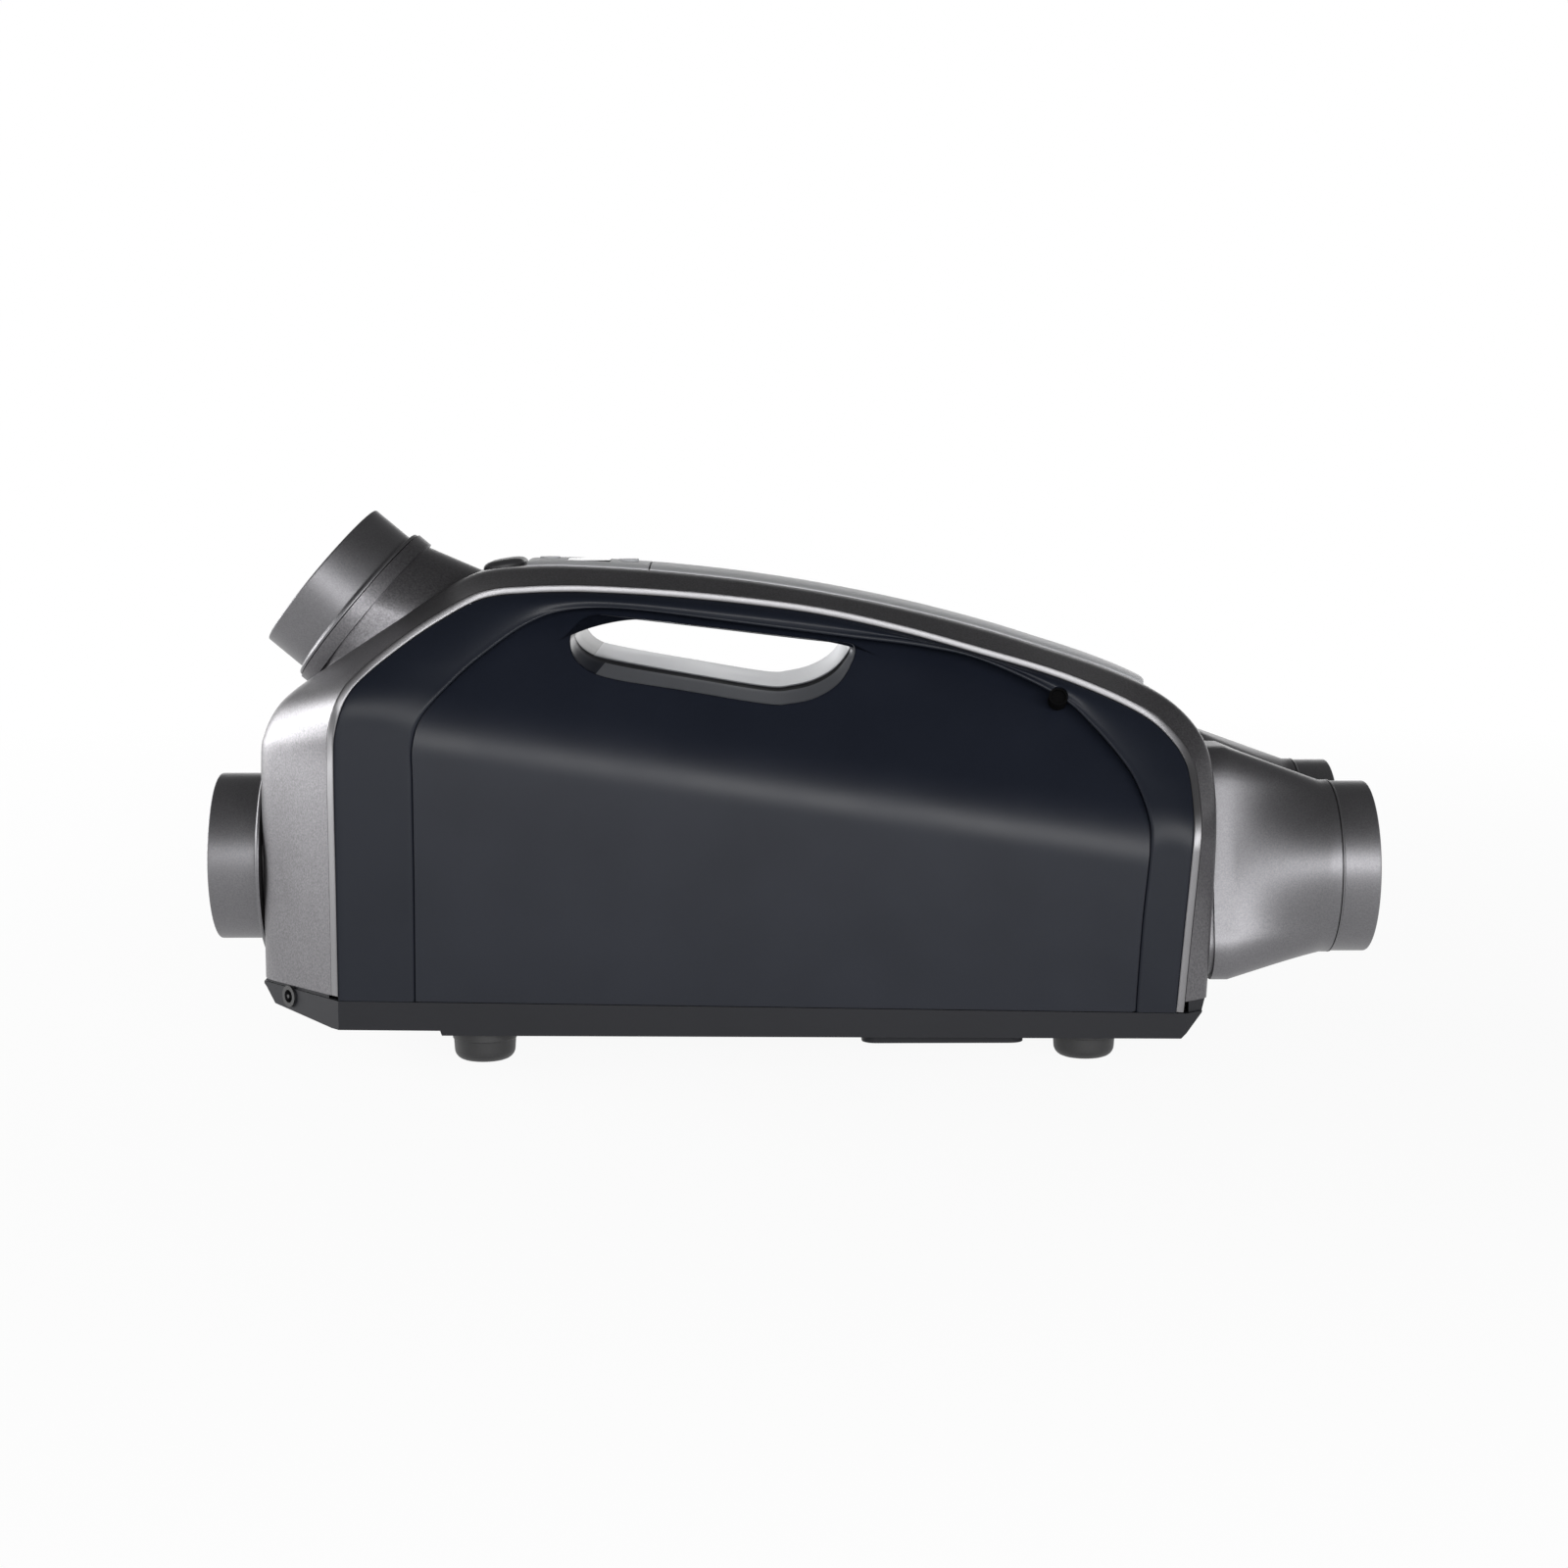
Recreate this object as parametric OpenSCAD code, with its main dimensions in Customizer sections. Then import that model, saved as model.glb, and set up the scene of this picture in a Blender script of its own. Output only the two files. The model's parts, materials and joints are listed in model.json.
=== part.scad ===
// Portable twin blower: an arch-shaped shell over a base tray, two round
// intake ducts at the rear, a handle slot through the top and two outlet
// ducts at the front.  Millimetres.  +X is the front, +Z is up, and the
// origin is on the floor under the middle of the machine.

/* [Body] */
// Half width over the upright lower sides
half_w = 116; // [112:1:120]
// Radius where the sides bend inward
bend_r = 75; // [70:2.5:80]
// Lean of the upper sides from upright, degrees
bend_lean = 30; // [29:0.5:31]
// Height of the bend line, measured square to it
bend_h = 150; // [148:1:152]
// Slope of the bend line, down towards the front, degrees
bend_tilt = 9.1; // [8.5:0.1:9.5]
// Wall thickness of the arch shell
shell_t = 2.5; // [2:0.1:3]
// Width of the bright trim round each side
trim_w = 4.5; // [4:0.1:5]
// Thickness of the side panels
panel_t = 2.5; // [2:0.1:3]

/* [Base] */
// Half length of the hatch under the base, along the machine
hatch_half = 46.5; // [40:0.5:48]
// Radius of a rear foot
rear_foot_r = 18.5; // [16:0.5:20]
// Radius of a front foot
front_foot_r = 18.5; // [15:0.5:20]
// Height of the floor of the tray above the ground
floor_z = 18.5; // [18:0.1:19]

/* [Ducts] */
// Outside diameter of every duct collar
duct_d = 100; // [98:0.5:101]
// Wall thickness of a duct collar
duct_t = 2.5; // [2:0.1:3]
// Height of the lower intake duct's axis
lower_duct_z = 105; // [103:1:107]
// Lift of the upper intake duct's axis above level, degrees
upper_duct_lift = 40; // [38:1:42]
// Distance between the axes of the two outlet ducts
outlet_pitch = 110; // [108:1:112]
// Height of the outlet ducts' axes
outlet_z = 106; // [104:1:108]

/* [Fans] */
// Inside radius of a fan tube
fan_bore_r = 42; // [41:0.5:42.5]
// Number of blades on an impeller
fan_blades = 9; // [7:1:11]
// Radius of the fan shafts
shaft_r = 3; // [2.5:0.5:3.5]
// Radial running clearance of a shaft in its bearings
shaft_gap = 0.04; // [0.02:0.01:0.06]

/* [Controls] */
// Length of the power button along the machine
power_len = 25; // [22:1:26]
// Width of the power button across the machine
power_wid = 46; // [40:1:50]
// Radius of a speed button
speed_r = 6; // [5:0.5:7]

/* [Hidden] */
$fn = 64;
far = 400;
eps = 0.01;

gunmetal = [0.27, 0.26, 0.28];
light_metal = [0.64, 0.63, 0.66];
silver = [0.76, 0.76, 0.78];
navy = [0.10, 0.115, 0.15];
black = [0.06, 0.06, 0.065];
charcoal = [0.16, 0.16, 0.17];
gloss_grey = [0.70, 0.72, 0.75];
steel = [0.72, 0.72, 0.74];
green = [0.05, 0.25, 0.14];

// ---- curves -------------------------------------------------------
// Smooth curve through a list of points: one unit of t a point.
function blend4(a, b, c, d, t) =
    0.5 * (2 * b + (c - a) * t + (2 * a - 5 * b + 4 * c - d) * t * t
           + (3 * b - a - 3 * c + d) * t * t * t);
function along(pts, t) =
    let (last = len(pts) - 1, i = min(floor(t), last - 1))
    blend4(pts[max(i - 1, 0)], pts[i], pts[i + 1],
           pts[min(i + 2, last)], t - i);
function sampled(pts, per) =
    [for (k = [0 : (len(pts) - 1) * per]) along(pts, k / per)];
// The same curve moved sideways in its own plane, to the right of its
// direction of travel.
function moved(pts, d) =
    [for (i = [0 : len(pts) - 1])
        let (a = pts[max(i - 1, 0)], b = pts[min(i + 1, len(pts) - 1)],
             run = norm(b - a))
        pts[i] + d * [b[1] - a[1], a[0] - b[0]] / run];

// The arch from the rear face over the top to the front face.  A row is
// the flat's x and z, its half width, and the x and z of the side rim.
ARCH = [
    [-306, 41, 60, -259, 41],
    [-306, 105, 60, -259, 105],
    [-306, 168, 60, -259, 172],
    [-303.5, 185, 60, -257.5, 194],
    [-296, 200, 59, -250.5, 213.5],
    [-284, 211.5, 57.5, -239, 227],
    [-262, 226.5, 55, -217, 244.5],
    [-232, 246.5, 53, -198, 257],
    [-200, 267.5, 50, -180, 266.8],
    [-183, 276.5, 48, -166, 270.5],
    [-168, 280, 47, -151, 271.6],
    [-150, 281.2, 47, -135, 272.2],
    [-126, 281.4, 47, -112, 272],
    [-81, 279, 47, -72, 269.7],
    [-30, 273.8, 47, -26, 265.3],
    [20, 266.3, 47, 21, 258.8],
    [70, 256.3, 47, 69, 248.3],
    [116, 244.6, 47, 114, 235.8],
    [154, 233, 47, 150, 225.4],
    [183, 223.5, 49, 176, 216],
    [208, 213.4, 56, 198, 206.3],
    [224, 204, 66, 213, 197.5],
    [236, 192, 75, 224, 187],
    [243, 179, 82, 231, 176.5],
    [246, 164, 88, 234.3, 165],
    [246.5, 142, 98, 235.3, 142],
    [245.5, 115, 103, 233.5, 115],
    [243.8, 80, 104, 230.5, 80],
    [241.8, 37, 104, 227, 37]
];
RIM = sampled([for (row = ARCH) [row[3], row[4]]], 2);

// The line where the side frame ends and the recessed panel starts.
CREASE = sampled([
    [-211, 36], [-210.5, 106], [-210.5, 162], [-210.3, 184],
    [-204.5, 201], [-186.5, 221], [-170, 235], [-148, 250],
    [-126, 257.5], [-92, 258.2], [-28, 250.3], [36, 241.8],
    [80, 236], [114, 228], [156.5, 208.4], [175, 192.6],
    [191, 174], [199.3, 160.7], [205, 143.7], [206, 127],
    [202, 82], [199, 33]
], 2);

// Half width of the machine at a height q square to the bend line.
bend_end = bend_h + bend_r * sin(bend_lean);
function side_at(q) =
    q <= bend_h ? half_w
    : q <= bend_end
        ? half_w - bend_r + sqrt(bend_r * bend_r - pow(q - bend_h, 2))
        : half_w - bend_r * (1 - cos(bend_lean))
          - (q - bend_end) * tan(bend_lean);
function q_at(x, z) = z * cos(bend_tilt) + x * sin(bend_tilt);
function side_y(x, z) = side_at(q_at(x, z));
SIDE_Q = concat([-60, bend_h],
                [for (k = [1 : 5])
                    bend_h + bend_r * sin(bend_lean * k / 6)],
                [bend_end, 340]);

// The recessed panel: upright, then bent in to a steeper slope than the
// side's, so that the recess deepens towards the handle slot.
cove_h = 145;
cove_r = 60;
cove_lean = 36;
panel_y = half_w - 1;
cove_mid = cove_h + cove_r * sin(cove_lean);
cove_mid_y = panel_y - cove_r * (1 - cos(cove_lean));
function panel_at(q) =
    q <= cove_h ? panel_y
    : q <= cove_mid
        ? panel_y - cove_r + sqrt(cove_r * cove_r - pow(q - cove_h, 2))
        : cove_mid_y - (q - cove_mid) * tan(cove_lean);
PANEL_Q = concat([-60],
                 [for (a = [0 : 4 : cove_lean]) cove_h + cove_r * sin(a)],
                 [300]);
PANEL_LINE = [for (q = PANEL_Q) [panel_at(q), q]];

// ---- helpers ------------------------------------------------------
function turned(pts) =
    [for (i = [len(pts) - 1 : -1 : 0]) pts[i]];

// Everything is drawn for the left (+Y) side; the right is its mirror.
module to_right() {
    mirror([0, 1, 0]) children();
}

// A profile of half width against q, run along the bend line.
module side_run(points) {
    rotate([0, bend_tilt, 0]) rotate([90, 0, 90])
        translate([0, 0, -far]) linear_extrude(2 * far)
            polygon(points);
}

// The layer of the left side between two depths under its surface.
module side_layer(outer, inner) {
    side_run(concat([for (q = SIDE_Q) [side_at(q) - outer, q]],
                    [for (q = turned(SIDE_Q)) [side_at(q) - inner, q]]));
}

// An outline in x and z, cut straight through the left half.
module side_cut(points) {
    rotate([90, 0, 0]) translate([0, 0, -far / 2])
        linear_extrude(far / 2) polygon(points);
}

// A ring of n points from number first on, closed by triangles across it.
function cap(n, first) =
    [for (j = [0 : floor(n / 2) - 1], k = [0, 1])
        let (face = k == 0 ? [j, j + 1, n - 1 - j]
                           : [j + 1, n - 2 - j, n - 1 - j])
        if (face[0] < face[1] && face[1] < face[2])
            [first + face[0], first + face[1], first + face[2]]];
function turned_faces(faces) = [for (f = faces) [f[2], f[1], f[0]]];

// Loft through rings of the same number of points, open or closed.
module loft(rings, closed = false) {
    n = len(rings[0]);
    m = len(rings);
    spans = closed ? m : m - 1;
    polyhedron(
        points = [for (ring = rings) each ring],
        faces = concat(
            [for (i = [0 : spans - 1], j = [0 : n - 1])
                [i * n + j, i * n + (j + 1) % n,
                 ((i + 1) % m) * n + (j + 1) % n]],
            [for (i = [0 : spans - 1], j = [0 : n - 1])
                [i * n + j, ((i + 1) % m) * n + (j + 1) % n,
                 ((i + 1) % m) * n + j]],
            closed ? [] : turned_faces(cap(n, 0)),
            closed ? [] : cap(n, (m - 1) * n)));
}

module tube(outer, inner, h) {
    difference() {
        cylinder(r = outer, h = h);
        translate([0, 0, -1]) cylinder(r = inner, h = h + 2);
    }
}

// A flat shape with round ends, its length along X and width along Y.
module stadium(len, wid) {
    r = min(len, wid) / 2;
    square(len > wid ? [len - wid, wid] : [len, wid - len],
           center = true);
    for (s = [-1, 1])
        translate(len > wid ? [s * (len / 2 - r), 0]
                            : [0, s * (wid / 2 - r)])
            circle(r = r);
}

// A pan-head screw, head up, shank down.
module screw(head_r, head_h, shank_r, shank_h) {
    difference() {
        union() {
            cylinder(r = head_r, h = head_h);
            translate([0, 0, -shank_h])
                cylinder(r = shank_r, h = shank_h + head_h / 2);
        }
        for (a = [0, 90])
            rotate([0, 0, a])
                translate([-head_r * 0.55, -0.5, head_h - 1])
                    cube([head_r * 1.1, 1, 2]);
    }
}

// ---- arch shell ---------------------------------------------------
edge_round = 4;
rim_lip = 1.4;
function arch(t) = along(ARCH, t);
function inward(t) =
    let (a = arch(max(t - 0.1, 0)),
         b = arch(min(t + 0.1, len(ARCH) - 1)),
         run = norm([b[0] - a[0], b[1] - a[1]]))
    [(b[1] - a[1]) / run, (a[0] - b[0]) / run];

// Half of one cross-section of the shell, rim to centre, as [x, y, z]:
// the outer skin, or the inner one when depth is the wall thickness.
function half_skin(t, depth) =
    let (row = arch(t), n = inward(t) * depth,
         rim = [row[3], side_y(row[3], row[4]), row[4]],
         edge = [row[0], row[2], row[1]],
         flat = [row[0], row[2] - edge_round, row[1]],
         near = edge + (rim - edge) * 0.15,
         push = [n[0], 0, n[1]])
    [depth > 0 ? rim - [0, rim_lip, 0] : rim,
     near + push, (near + 2 * edge + flat) / 4 + push, flat + push];
function flip_y(pts) = [for (p = turned(pts)) [p[0], -p[1], p[2]]];
function shell_ring(t) =
    concat(half_skin(t, 0), flip_y(half_skin(t, 0)),
           half_skin_back(t));
function half_skin_back(t) =
    let (half = half_skin(t, shell_t))
    concat([for (p = half) [p[0], -p[1], p[2]]], turned(half));

// A layer just under the flat of the arch between two places along it.
// Ducts are trimmed by it, so that their feet lie on the skin.
module under_skin(t0, t1) {
    places = [for (k = [t0 * 2 : t1 * 2]) k / 2];
    rotate([90, 0, 0]) translate([0, 0, -half_w])
        linear_extrude(2 * half_w)
            polygon(concat(
                [for (t = places) let (p = arch(t)) [p[0], p[1]]],
                [for (t = turned(places))
                    let (p = arch(t)) [p[0], p[1]] + 14 * inward(t)]));
}

// Places and slopes that the openings in the shell share.
slope_pt = [-235, 244.8];
slope_lift = 33.5;
neck_long = 23;
neck_r = 52;
neck_bore_r = 47;
power_pt = [-166.5, 280.4];
power_tilt = 9;
speed_up_x = -140;
speed_down_x = -93;
module at_power() {
    translate([power_pt[0], 0, power_pt[1]])
        rotate([0, -power_tilt, 0]) children();
}
module on_slope() {
    translate([slope_pt[0], 0, slope_pt[1]])
        rotate([0, -slope_lift, 0]) children();
}

module main_shell() {
    color(gunmetal) difference() {
        loft([for (k = [0 : (len(ARCH) - 1) * 2]) shell_ring(k / 2)]);
        at_upper() translate([0, 0, -60])
            cylinder(r = neck_bore_r + 0.4, h = 80);
        translate([-rear_x - 4, 0, lower_duct_z]) rotate([0, 90, 0])
            cylinder(r = socket_r + 0.2, h = 8);
        at_power() translate([0, 0, -8]) linear_extrude(16)
            stadium(power_len + 0.8, power_wid + 0.8);
        for (x = [speed_up_x, speed_down_x])
            translate([x, 0, 270]) cylinder(r = speed_r + 0.4, h = 20);
        outlet_spigot(0.4, 4);
        to_right() outlet_spigot(0.4, 4);
    }
}

// ---- trims, side frames and panels -------------------------------
module trim_left() {
    color(silver) intersection() {
        difference() {
            side_layer(-0.2, 1.2);
            side_cut(run_down(moved(RIM, trim_w)));
        }
        side_cut(run_down(moved(RIM, 0.15)));
        above_sill(2.6);
    }
}
module trim_right() { to_right() trim_left(); }

sill_rear = 38.6;
sill_front = 30.2;
function sill(x) =
    sill_rear + (sill_front - sill_rear) * (x + 259) / 486;
module above_sill(rise = 0) {
    side_cut([[-far, sill(-far) + rise], [far, sill(far) + rise],
              [far, far], [-far, far]]);
}
// An open curve over the sill, run on down through it.
function run_down(pts) =
    concat([[pts[0][0], 20]], pts, [[pts[len(pts) - 1][0], 20]]);

plug_pt = [156.5, 208.4];
plug_r = 5.5;
module side_frame_left() {
    color(navy) difference() {
        side_frame_solid();
        translate([plug_pt[0], side_y(plug_pt[0], plug_pt[1]),
                   plug_pt[1]])
            rotate([bend_lean - 90, 0, 0])
                translate([0, 0, -12]) cylinder(r = plug_r, h = 16);
    }
}
module side_frame_solid() {
    intersection() {
        above_sill();
        union() {
            intersection() {
                difference() {
                    side_layer(0.4, 3.4);
                    side_cut(run_down(CREASE));
                }
                side_cut(run_down(moved(RIM, trim_w + 0.1)));
            }
            intersection() {
                difference() {
                    side_layer(1.3, 3.4);
                    side_cut(run_down(moved(RIM, trim_w + 1)));
                }
                side_cut(run_down(moved(RIM, 0.3)));
            }
            crease_wall();
        }
    }
}
module crease_wall() {
    intersection() {
        difference() {
            side_run(concat(
                [for (q = SIDE_Q) [side_at(q) - 0.4, q]],
                [for (p = turned(PANEL_LINE)) [p[0] - panel_t, p[1]]]));
            side_cut(run_down(CREASE));
        }
        side_cut(run_down(moved(CREASE, -2)));
    }
}
module side_frame_right() { to_right() side_frame_left(); }

module side_panel_left() {
    color(navy) intersection() {
        above_sill();
        difference() {
            side_run(concat(PANEL_LINE,
                [for (p = turned(PANEL_LINE)) [p[0] - panel_t, p[1]]]));
            side_cut(SLOT_PANEL);
        }
        side_cut(run_down(moved(CREASE, 0.3)));
    }
}
module side_panel_right() { to_right() side_panel_left(); }

// ---- handle slot --------------------------------------------------
// Mouth of the slot and the edge of its bevel, both from the slot's rear
// end over the top and back along the bottom.
SLOT = [
    [-122, 241], [-118.5, 249], [-110, 253], [-98, 252.2],
    [-45, 246], [8, 239.6], [30, 237.2], [37, 236],
    [35.5, 231], [28, 222.5], [17, 216.3], [4, 213],
    [-11, 212.4], [-56, 219.8], [-101, 228], [-115, 232.4]
];
BEVEL = [
    [-123.5, 241], [-119.5, 250], [-110.3, 254.4], [-98, 253.6],
    [-45, 247.4], [8, 241], [30.5, 238.6], [39.5, 236.5],
    [39, 229], [31, 216.5], [18, 208.5], [3, 205.2],
    [-12, 205.2], [-58, 212.8], [-103, 220.5], [-119.5, 229.5]
];
function loop_at(pts, t) =
    let (n = len(pts), i = floor(t) % n)
    blend4(pts[(i + n - 1) % n], pts[i], pts[(i + 1) % n],
           pts[(i + 2) % n], t - floor(t));
function loop(pts, per) =
    [for (k = [0 : len(pts) * per - 1]) loop_at(pts, k / per)];
function loop_grown(pts, d) =
    [for (i = [0 : len(pts) - 1])
        let (n = len(pts), a = pts[(i + n - 1) % n],
             b = pts[(i + 1) % n],
             run = norm([b[0] - a[0], b[1] - a[1]]))
        [pts[i][0] - d * (b[1] - a[1]) / run,
         pts[i][1] + d * (b[0] - a[0]) / run]];
SLOT_LINE = loop(SLOT, 3);
BEVEL_LINE = loop(BEVEL, 3);
liner_t = 2;
SLOT_PANEL = loop_grown(BEVEL_LINE, 0.3);
slot_y = 52;

SLOT_OUT = loop_grown(SLOT_LINE, liner_t);
bevel_rise = 0.6;
module handle_liner() {
    n = len(SLOT_LINE);
    rings = [for (i = [0 : n - 1])
        let (s = SLOT_LINE[i], o = SLOT_OUT[i], b = BEVEL_LINE[i],
             w = panel_at(q_at(b[0], b[1])) + bevel_rise)
        [[b[0], w, b[1]], [s[0], slot_y, s[1]],
         [s[0], -slot_y, s[1]], [b[0], -w, b[1]],
         [b[0], -w + 2.2, b[1]], [o[0], -slot_y + 4, o[1]],
         [o[0], slot_y - 4, o[1]], [b[0], w - 2.2, b[1]]]];
    color(charcoal) loft(rings, closed = true);
}

// ---- base ---------------------------------------------------------
rear_x = 306;
tray_corner_x = -254.5;
module plan(d) {
    pts = [[-rear_x + d, 60 - 0.4 * d], [tray_corner_x + 0.6 * d, half_w - d],
           [228 - 0.5 * d, half_w - d], [241.5 - d, 104 - 0.5 * d]];
    polygon(concat(pts, [for (p = turned(pts)) [p[0], -p[1]]]));
}
// Underside of the tray, which runs down a little towards the front, and
// the level floor inside it, as [x, z].
UNDERSIDE = [[-rear_x - 1, 39], [-304.5, 36.5], [-298.5, 27.8], [-259, 22],
             [-197, 21.3], [-196, floor_z], [225, 15.6], [238, 29],
             [241.5, 41], [243, 60]];
floor_t = 2.8;
FLOOR = [for (p = [[-rear_x - 1, 39], [-304.5, 36.5], [-298.5, 27.8],
                   [-259, 22], [-197, 21.3], [-196, floor_z],
                   [222, floor_z], [235, 27], [241.5, 37.2], [243, 57.2]])
             [p[0], p[1] + floor_t]];
module above_line(line) {
    rotate([90, 0, 0]) translate([0, 0, -far / 2]) linear_extrude(far)
        polygon(concat(line, [[-rear_x - 1, 60]]));
}
// Tops of the tray's lips, where the shell stands on them.
lip_rear = 41;
lip_front = 37;
module base_tray() {
    color(charcoal) difference() {
        intersection() {
            above_line(UNDERSIDE);
            union() {
                intersection() {
                    linear_extrude(60) plan(0);
                    rotate([90, 0, 0]) translate([0, 0, -far / 2])
                        linear_extrude(far)
                            polygon([[-far, 0], [far, 0],
                                     [far, sill(far)],
                                     [-far, sill(-far)]]);
                }
                intersection() {
                    linear_extrude(lip_rear) plan(1.4);
                    translate([-far, -far / 2, 0])
                        cube([far - 261, far, 60]);
                }
                intersection() {
                    linear_extrude(lip_front) plan(1.4);
                    translate([229.5, -far / 2, 0])
                        cube([far, far, 60]);
                }
            }
        }
        intersection() {
            above_line(FLOOR);
            translate([0, 0, 10]) linear_extrude(60) plan(3.5);
        }
        at_inlet() translate([0, 0, -6]) cylinder(r = 5.2, h = 12);
        for (f = FEET) {
            translate([f[0], f[1], 10]) cylinder(r = 2.2, h = 20);
            cylinder_at(f[0], f[1], f[2] + seat_gap);
        }
        linear_extrude(floor_z) translate([hatch_x, 0])
            rounded(2 * (hatch_half + seat_gap), 2 * (hatch_y + seat_gap), 8);
        for (p = HATCH_SCREWS)
            translate([p[0], p[1], 10]) cylinder(r = 1.8, h = 20);
    }
}

// Gap round a foot or the hatch where it sits in the tray.
seat_gap = 0.3;
module cylinder_at(x, y, r) {
    translate([x, y, 0]) cylinder(r = r, h = floor_z);
}

// Mains inlet on the rear right slanting face of the base.
inlet_y = -80;
inlet_z = 34.4;
slant = (tray_corner_x + rear_x) / (half_w - 60);
inlet_out = atan(slant);
module at_inlet() {
    translate([-rear_x - slant * (inlet_y + 60), inlet_y, inlet_z]) rotate([0, 0, 180 + inlet_out])
        rotate([0, 90, 0]) children();
}
module power_inlet() {
    color(black) at_inlet() {
        difference() {
            union() {
                translate([0, 0, -5]) cylinder(r = 5.2, h = 6);
                translate([0, 0, 0]) cylinder(r = 6.2, h = 1.4);
            }
            translate([0, 0, -3.5]) cylinder(r = 3.8, h = 10);
        }
        translate([0, 0, -4]) cylinder(r = 1.1, h = 5.5);
    }
}

// The hatch and its four screws.
hatch_x = 90;
hatch_y = 104;
hatch_low = 10.8;
screw_sunk = 1.5;
HATCH_SCREWS = [for (sx = [-1, 1], sy = [-1, 1])
    [hatch_x + sx * (hatch_half - 10), sy * (hatch_y - 12)]];
module belly_hatch() {
    color(charcoal) difference() {
        translate([hatch_x, 0, hatch_low])
            linear_extrude(floor_z - hatch_low)
                rounded(2 * hatch_half, 2 * hatch_y, 8);
        for (p = HATCH_SCREWS) translate([p[0], p[1], hatch_low - 1]) {
            cylinder(r = 4.2, h = screw_sunk + 1);
            cylinder(r = 1.8, h = 12);
        }
    }
}
module rounded(len, wid, r) {
    square([len - 2 * r, wid], center = true);
    square([len, wid - 2 * r], center = true);
    for (sx = [-1, 1], sy = [-1, 1])
        translate([sx * (len / 2 - r), sy * (wid / 2 - r)])
            circle(r = r);
}
module belly_screws() {
    color(steel) for (p = HATCH_SCREWS)
        translate([p[0], p[1], hatch_low + screw_sunk]) rotate([180, 0, 0])
            screw(3.4, 1.4, 1.5, 11);
}

// Feet: place x, y and radius.
foot_rear_y = 90;
foot_front_y = 86;
foot_rear_x = -174;
foot_front_x = 173;
FEET = [[foot_rear_x, -foot_rear_y, rear_foot_r],
        [foot_rear_x, foot_rear_y, rear_foot_r],
        [foot_front_x, -foot_front_y, front_foot_r],
        [foot_front_x, foot_front_y, front_foot_r]];
module foot(f) {
    r = f[2];
    h = floor_z;
    color(black) translate([f[0], f[1], 0])
        rotate_extrude()
            polygon(concat(
                [[5, 0], [r - 7, 0]],
                [for (a = [15 : 15 : 90])
                    [r - 7 + 6 * sin(a), 6 - 6 * cos(a)]],
                [[r - 0.6, 12], [r, 12.6], [r, h], [2.2, h], [2.2, 6],
                 [5, 6]]));
}
module foot_screws() {
    color(steel) for (f = FEET)
        translate([f[0], f[1], 6]) rotate([180, 0, 0])
            screw(4, 2.4, 2, 18);
}

// ---- top strip and controls --------------------------------------
strip_w = 38;
strip_h = 3.2;
strip_rear_t = 10.95;
strip_seam_t = 13.02;
strip_front_t = 20.25;
// Point on the flat of the shell, on the straight line between two of its
// rings, so that a strip lies on it without a gap.
function skin_at(t) =
    let (a = floor(2 * t) / 2, u = 2 * (t - a))
    (1 - u) * arch(a) + u * arch(min(a + 0.5, len(ARCH) - 1));
function strip_ring(t, w) =
    let (row = skin_at(t), out = -inward(t),
         half = [[w, 0], [w, 0.8], [w * 0.8, 2.2], [w * 0.4, 3],
                 [0, strip_h]],
         all = concat(half, [for (i = [3 : -1 : 0])
                             [-half[i][0], half[i][1]]]))
    [for (p = turned(all))
        [row[0] + out[0] * p[1], p[0], row[1] + out[1] * p[1]]];
module strip(t0, t1, tip) {
    quarters = [for (k = [ceil(4 * t0 + eps) : floor(4 * t1 - eps)]) k / 4];
    loft([for (t = concat([t0], quarters, [t1]))
        let (left = (t1 - t) / 1.2)
        strip_ring(t, tip && left < 1
            ? strip_w * (0.72 + 0.28 * sqrt(1 - pow(1 - left, 2)))
            : strip_w)]);
}
module top_strip() {
    color(gloss_grey) strip(strip_seam_t + 0.02, strip_front_t, true);
}
display_x = -116.5;
module control_panel() {
    color(gloss_grey) difference() {
        strip(strip_rear_t, strip_seam_t, false);
        for (x = [speed_up_x, speed_down_x])
            translate([x, 0, 270]) cylinder(r = speed_r + 0.4, h = 20);
        translate([display_x, 0, 283]) linear_extrude(5)
            rounded(26.4, 40.4, 3);
    }
}
module display_window() {
    color(black) translate([display_x, 0, 283]) linear_extrude(1)
        rounded(26, 40, 2.8);
}
power_h = 4;
power_flange_z = -5.7;
module power_button() {
    color(black) at_power() {
        translate([0, 0, power_flange_z + 1.5])
            linear_extrude(power_h - 1 - power_flange_z - 1.5)
                stadium(power_len, power_wid);
        translate([0, 0, power_h - 1]) linear_extrude(1)
            stadium(power_len - 2, power_wid - 2);
        translate([0, 0, power_flange_z]) linear_extrude(1.5)
            stadium(power_len + 4, power_wid + 4);
    }
}
// Skin height under each speed button.
speed_up_z = 281.3;
speed_down_z = 279.9;
module speed_button(x, skin_z) {
    color(silver) translate([x, 0, skin_z]) {
        translate([0, 0, -4.5]) cylinder(r = speed_r, h = 8.7);
        translate([0, 0, -5.6]) cylinder(r = speed_r + 2, h = 2.1);
    }
}
module speed_up_button() { speed_button(speed_up_x, speed_up_z); }
module speed_down_button() { speed_button(speed_down_x, speed_down_z); }

board_z = 264;
board_t = 1.6;
module control_board() {
    color(green) {
        translate([-178, -20, board_z]) cube([94, 40, board_t]);
        for (x = [-149, -108], y = [-17, 17])
            translate([x, y, board_z]) cylinder(r = 2.2, h = 14.7);
    }
    color(black) for (y = [-12, 8])
        translate([-128, y, board_z + board_t]) cube([22, 4, 2.4]);
}
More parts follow.
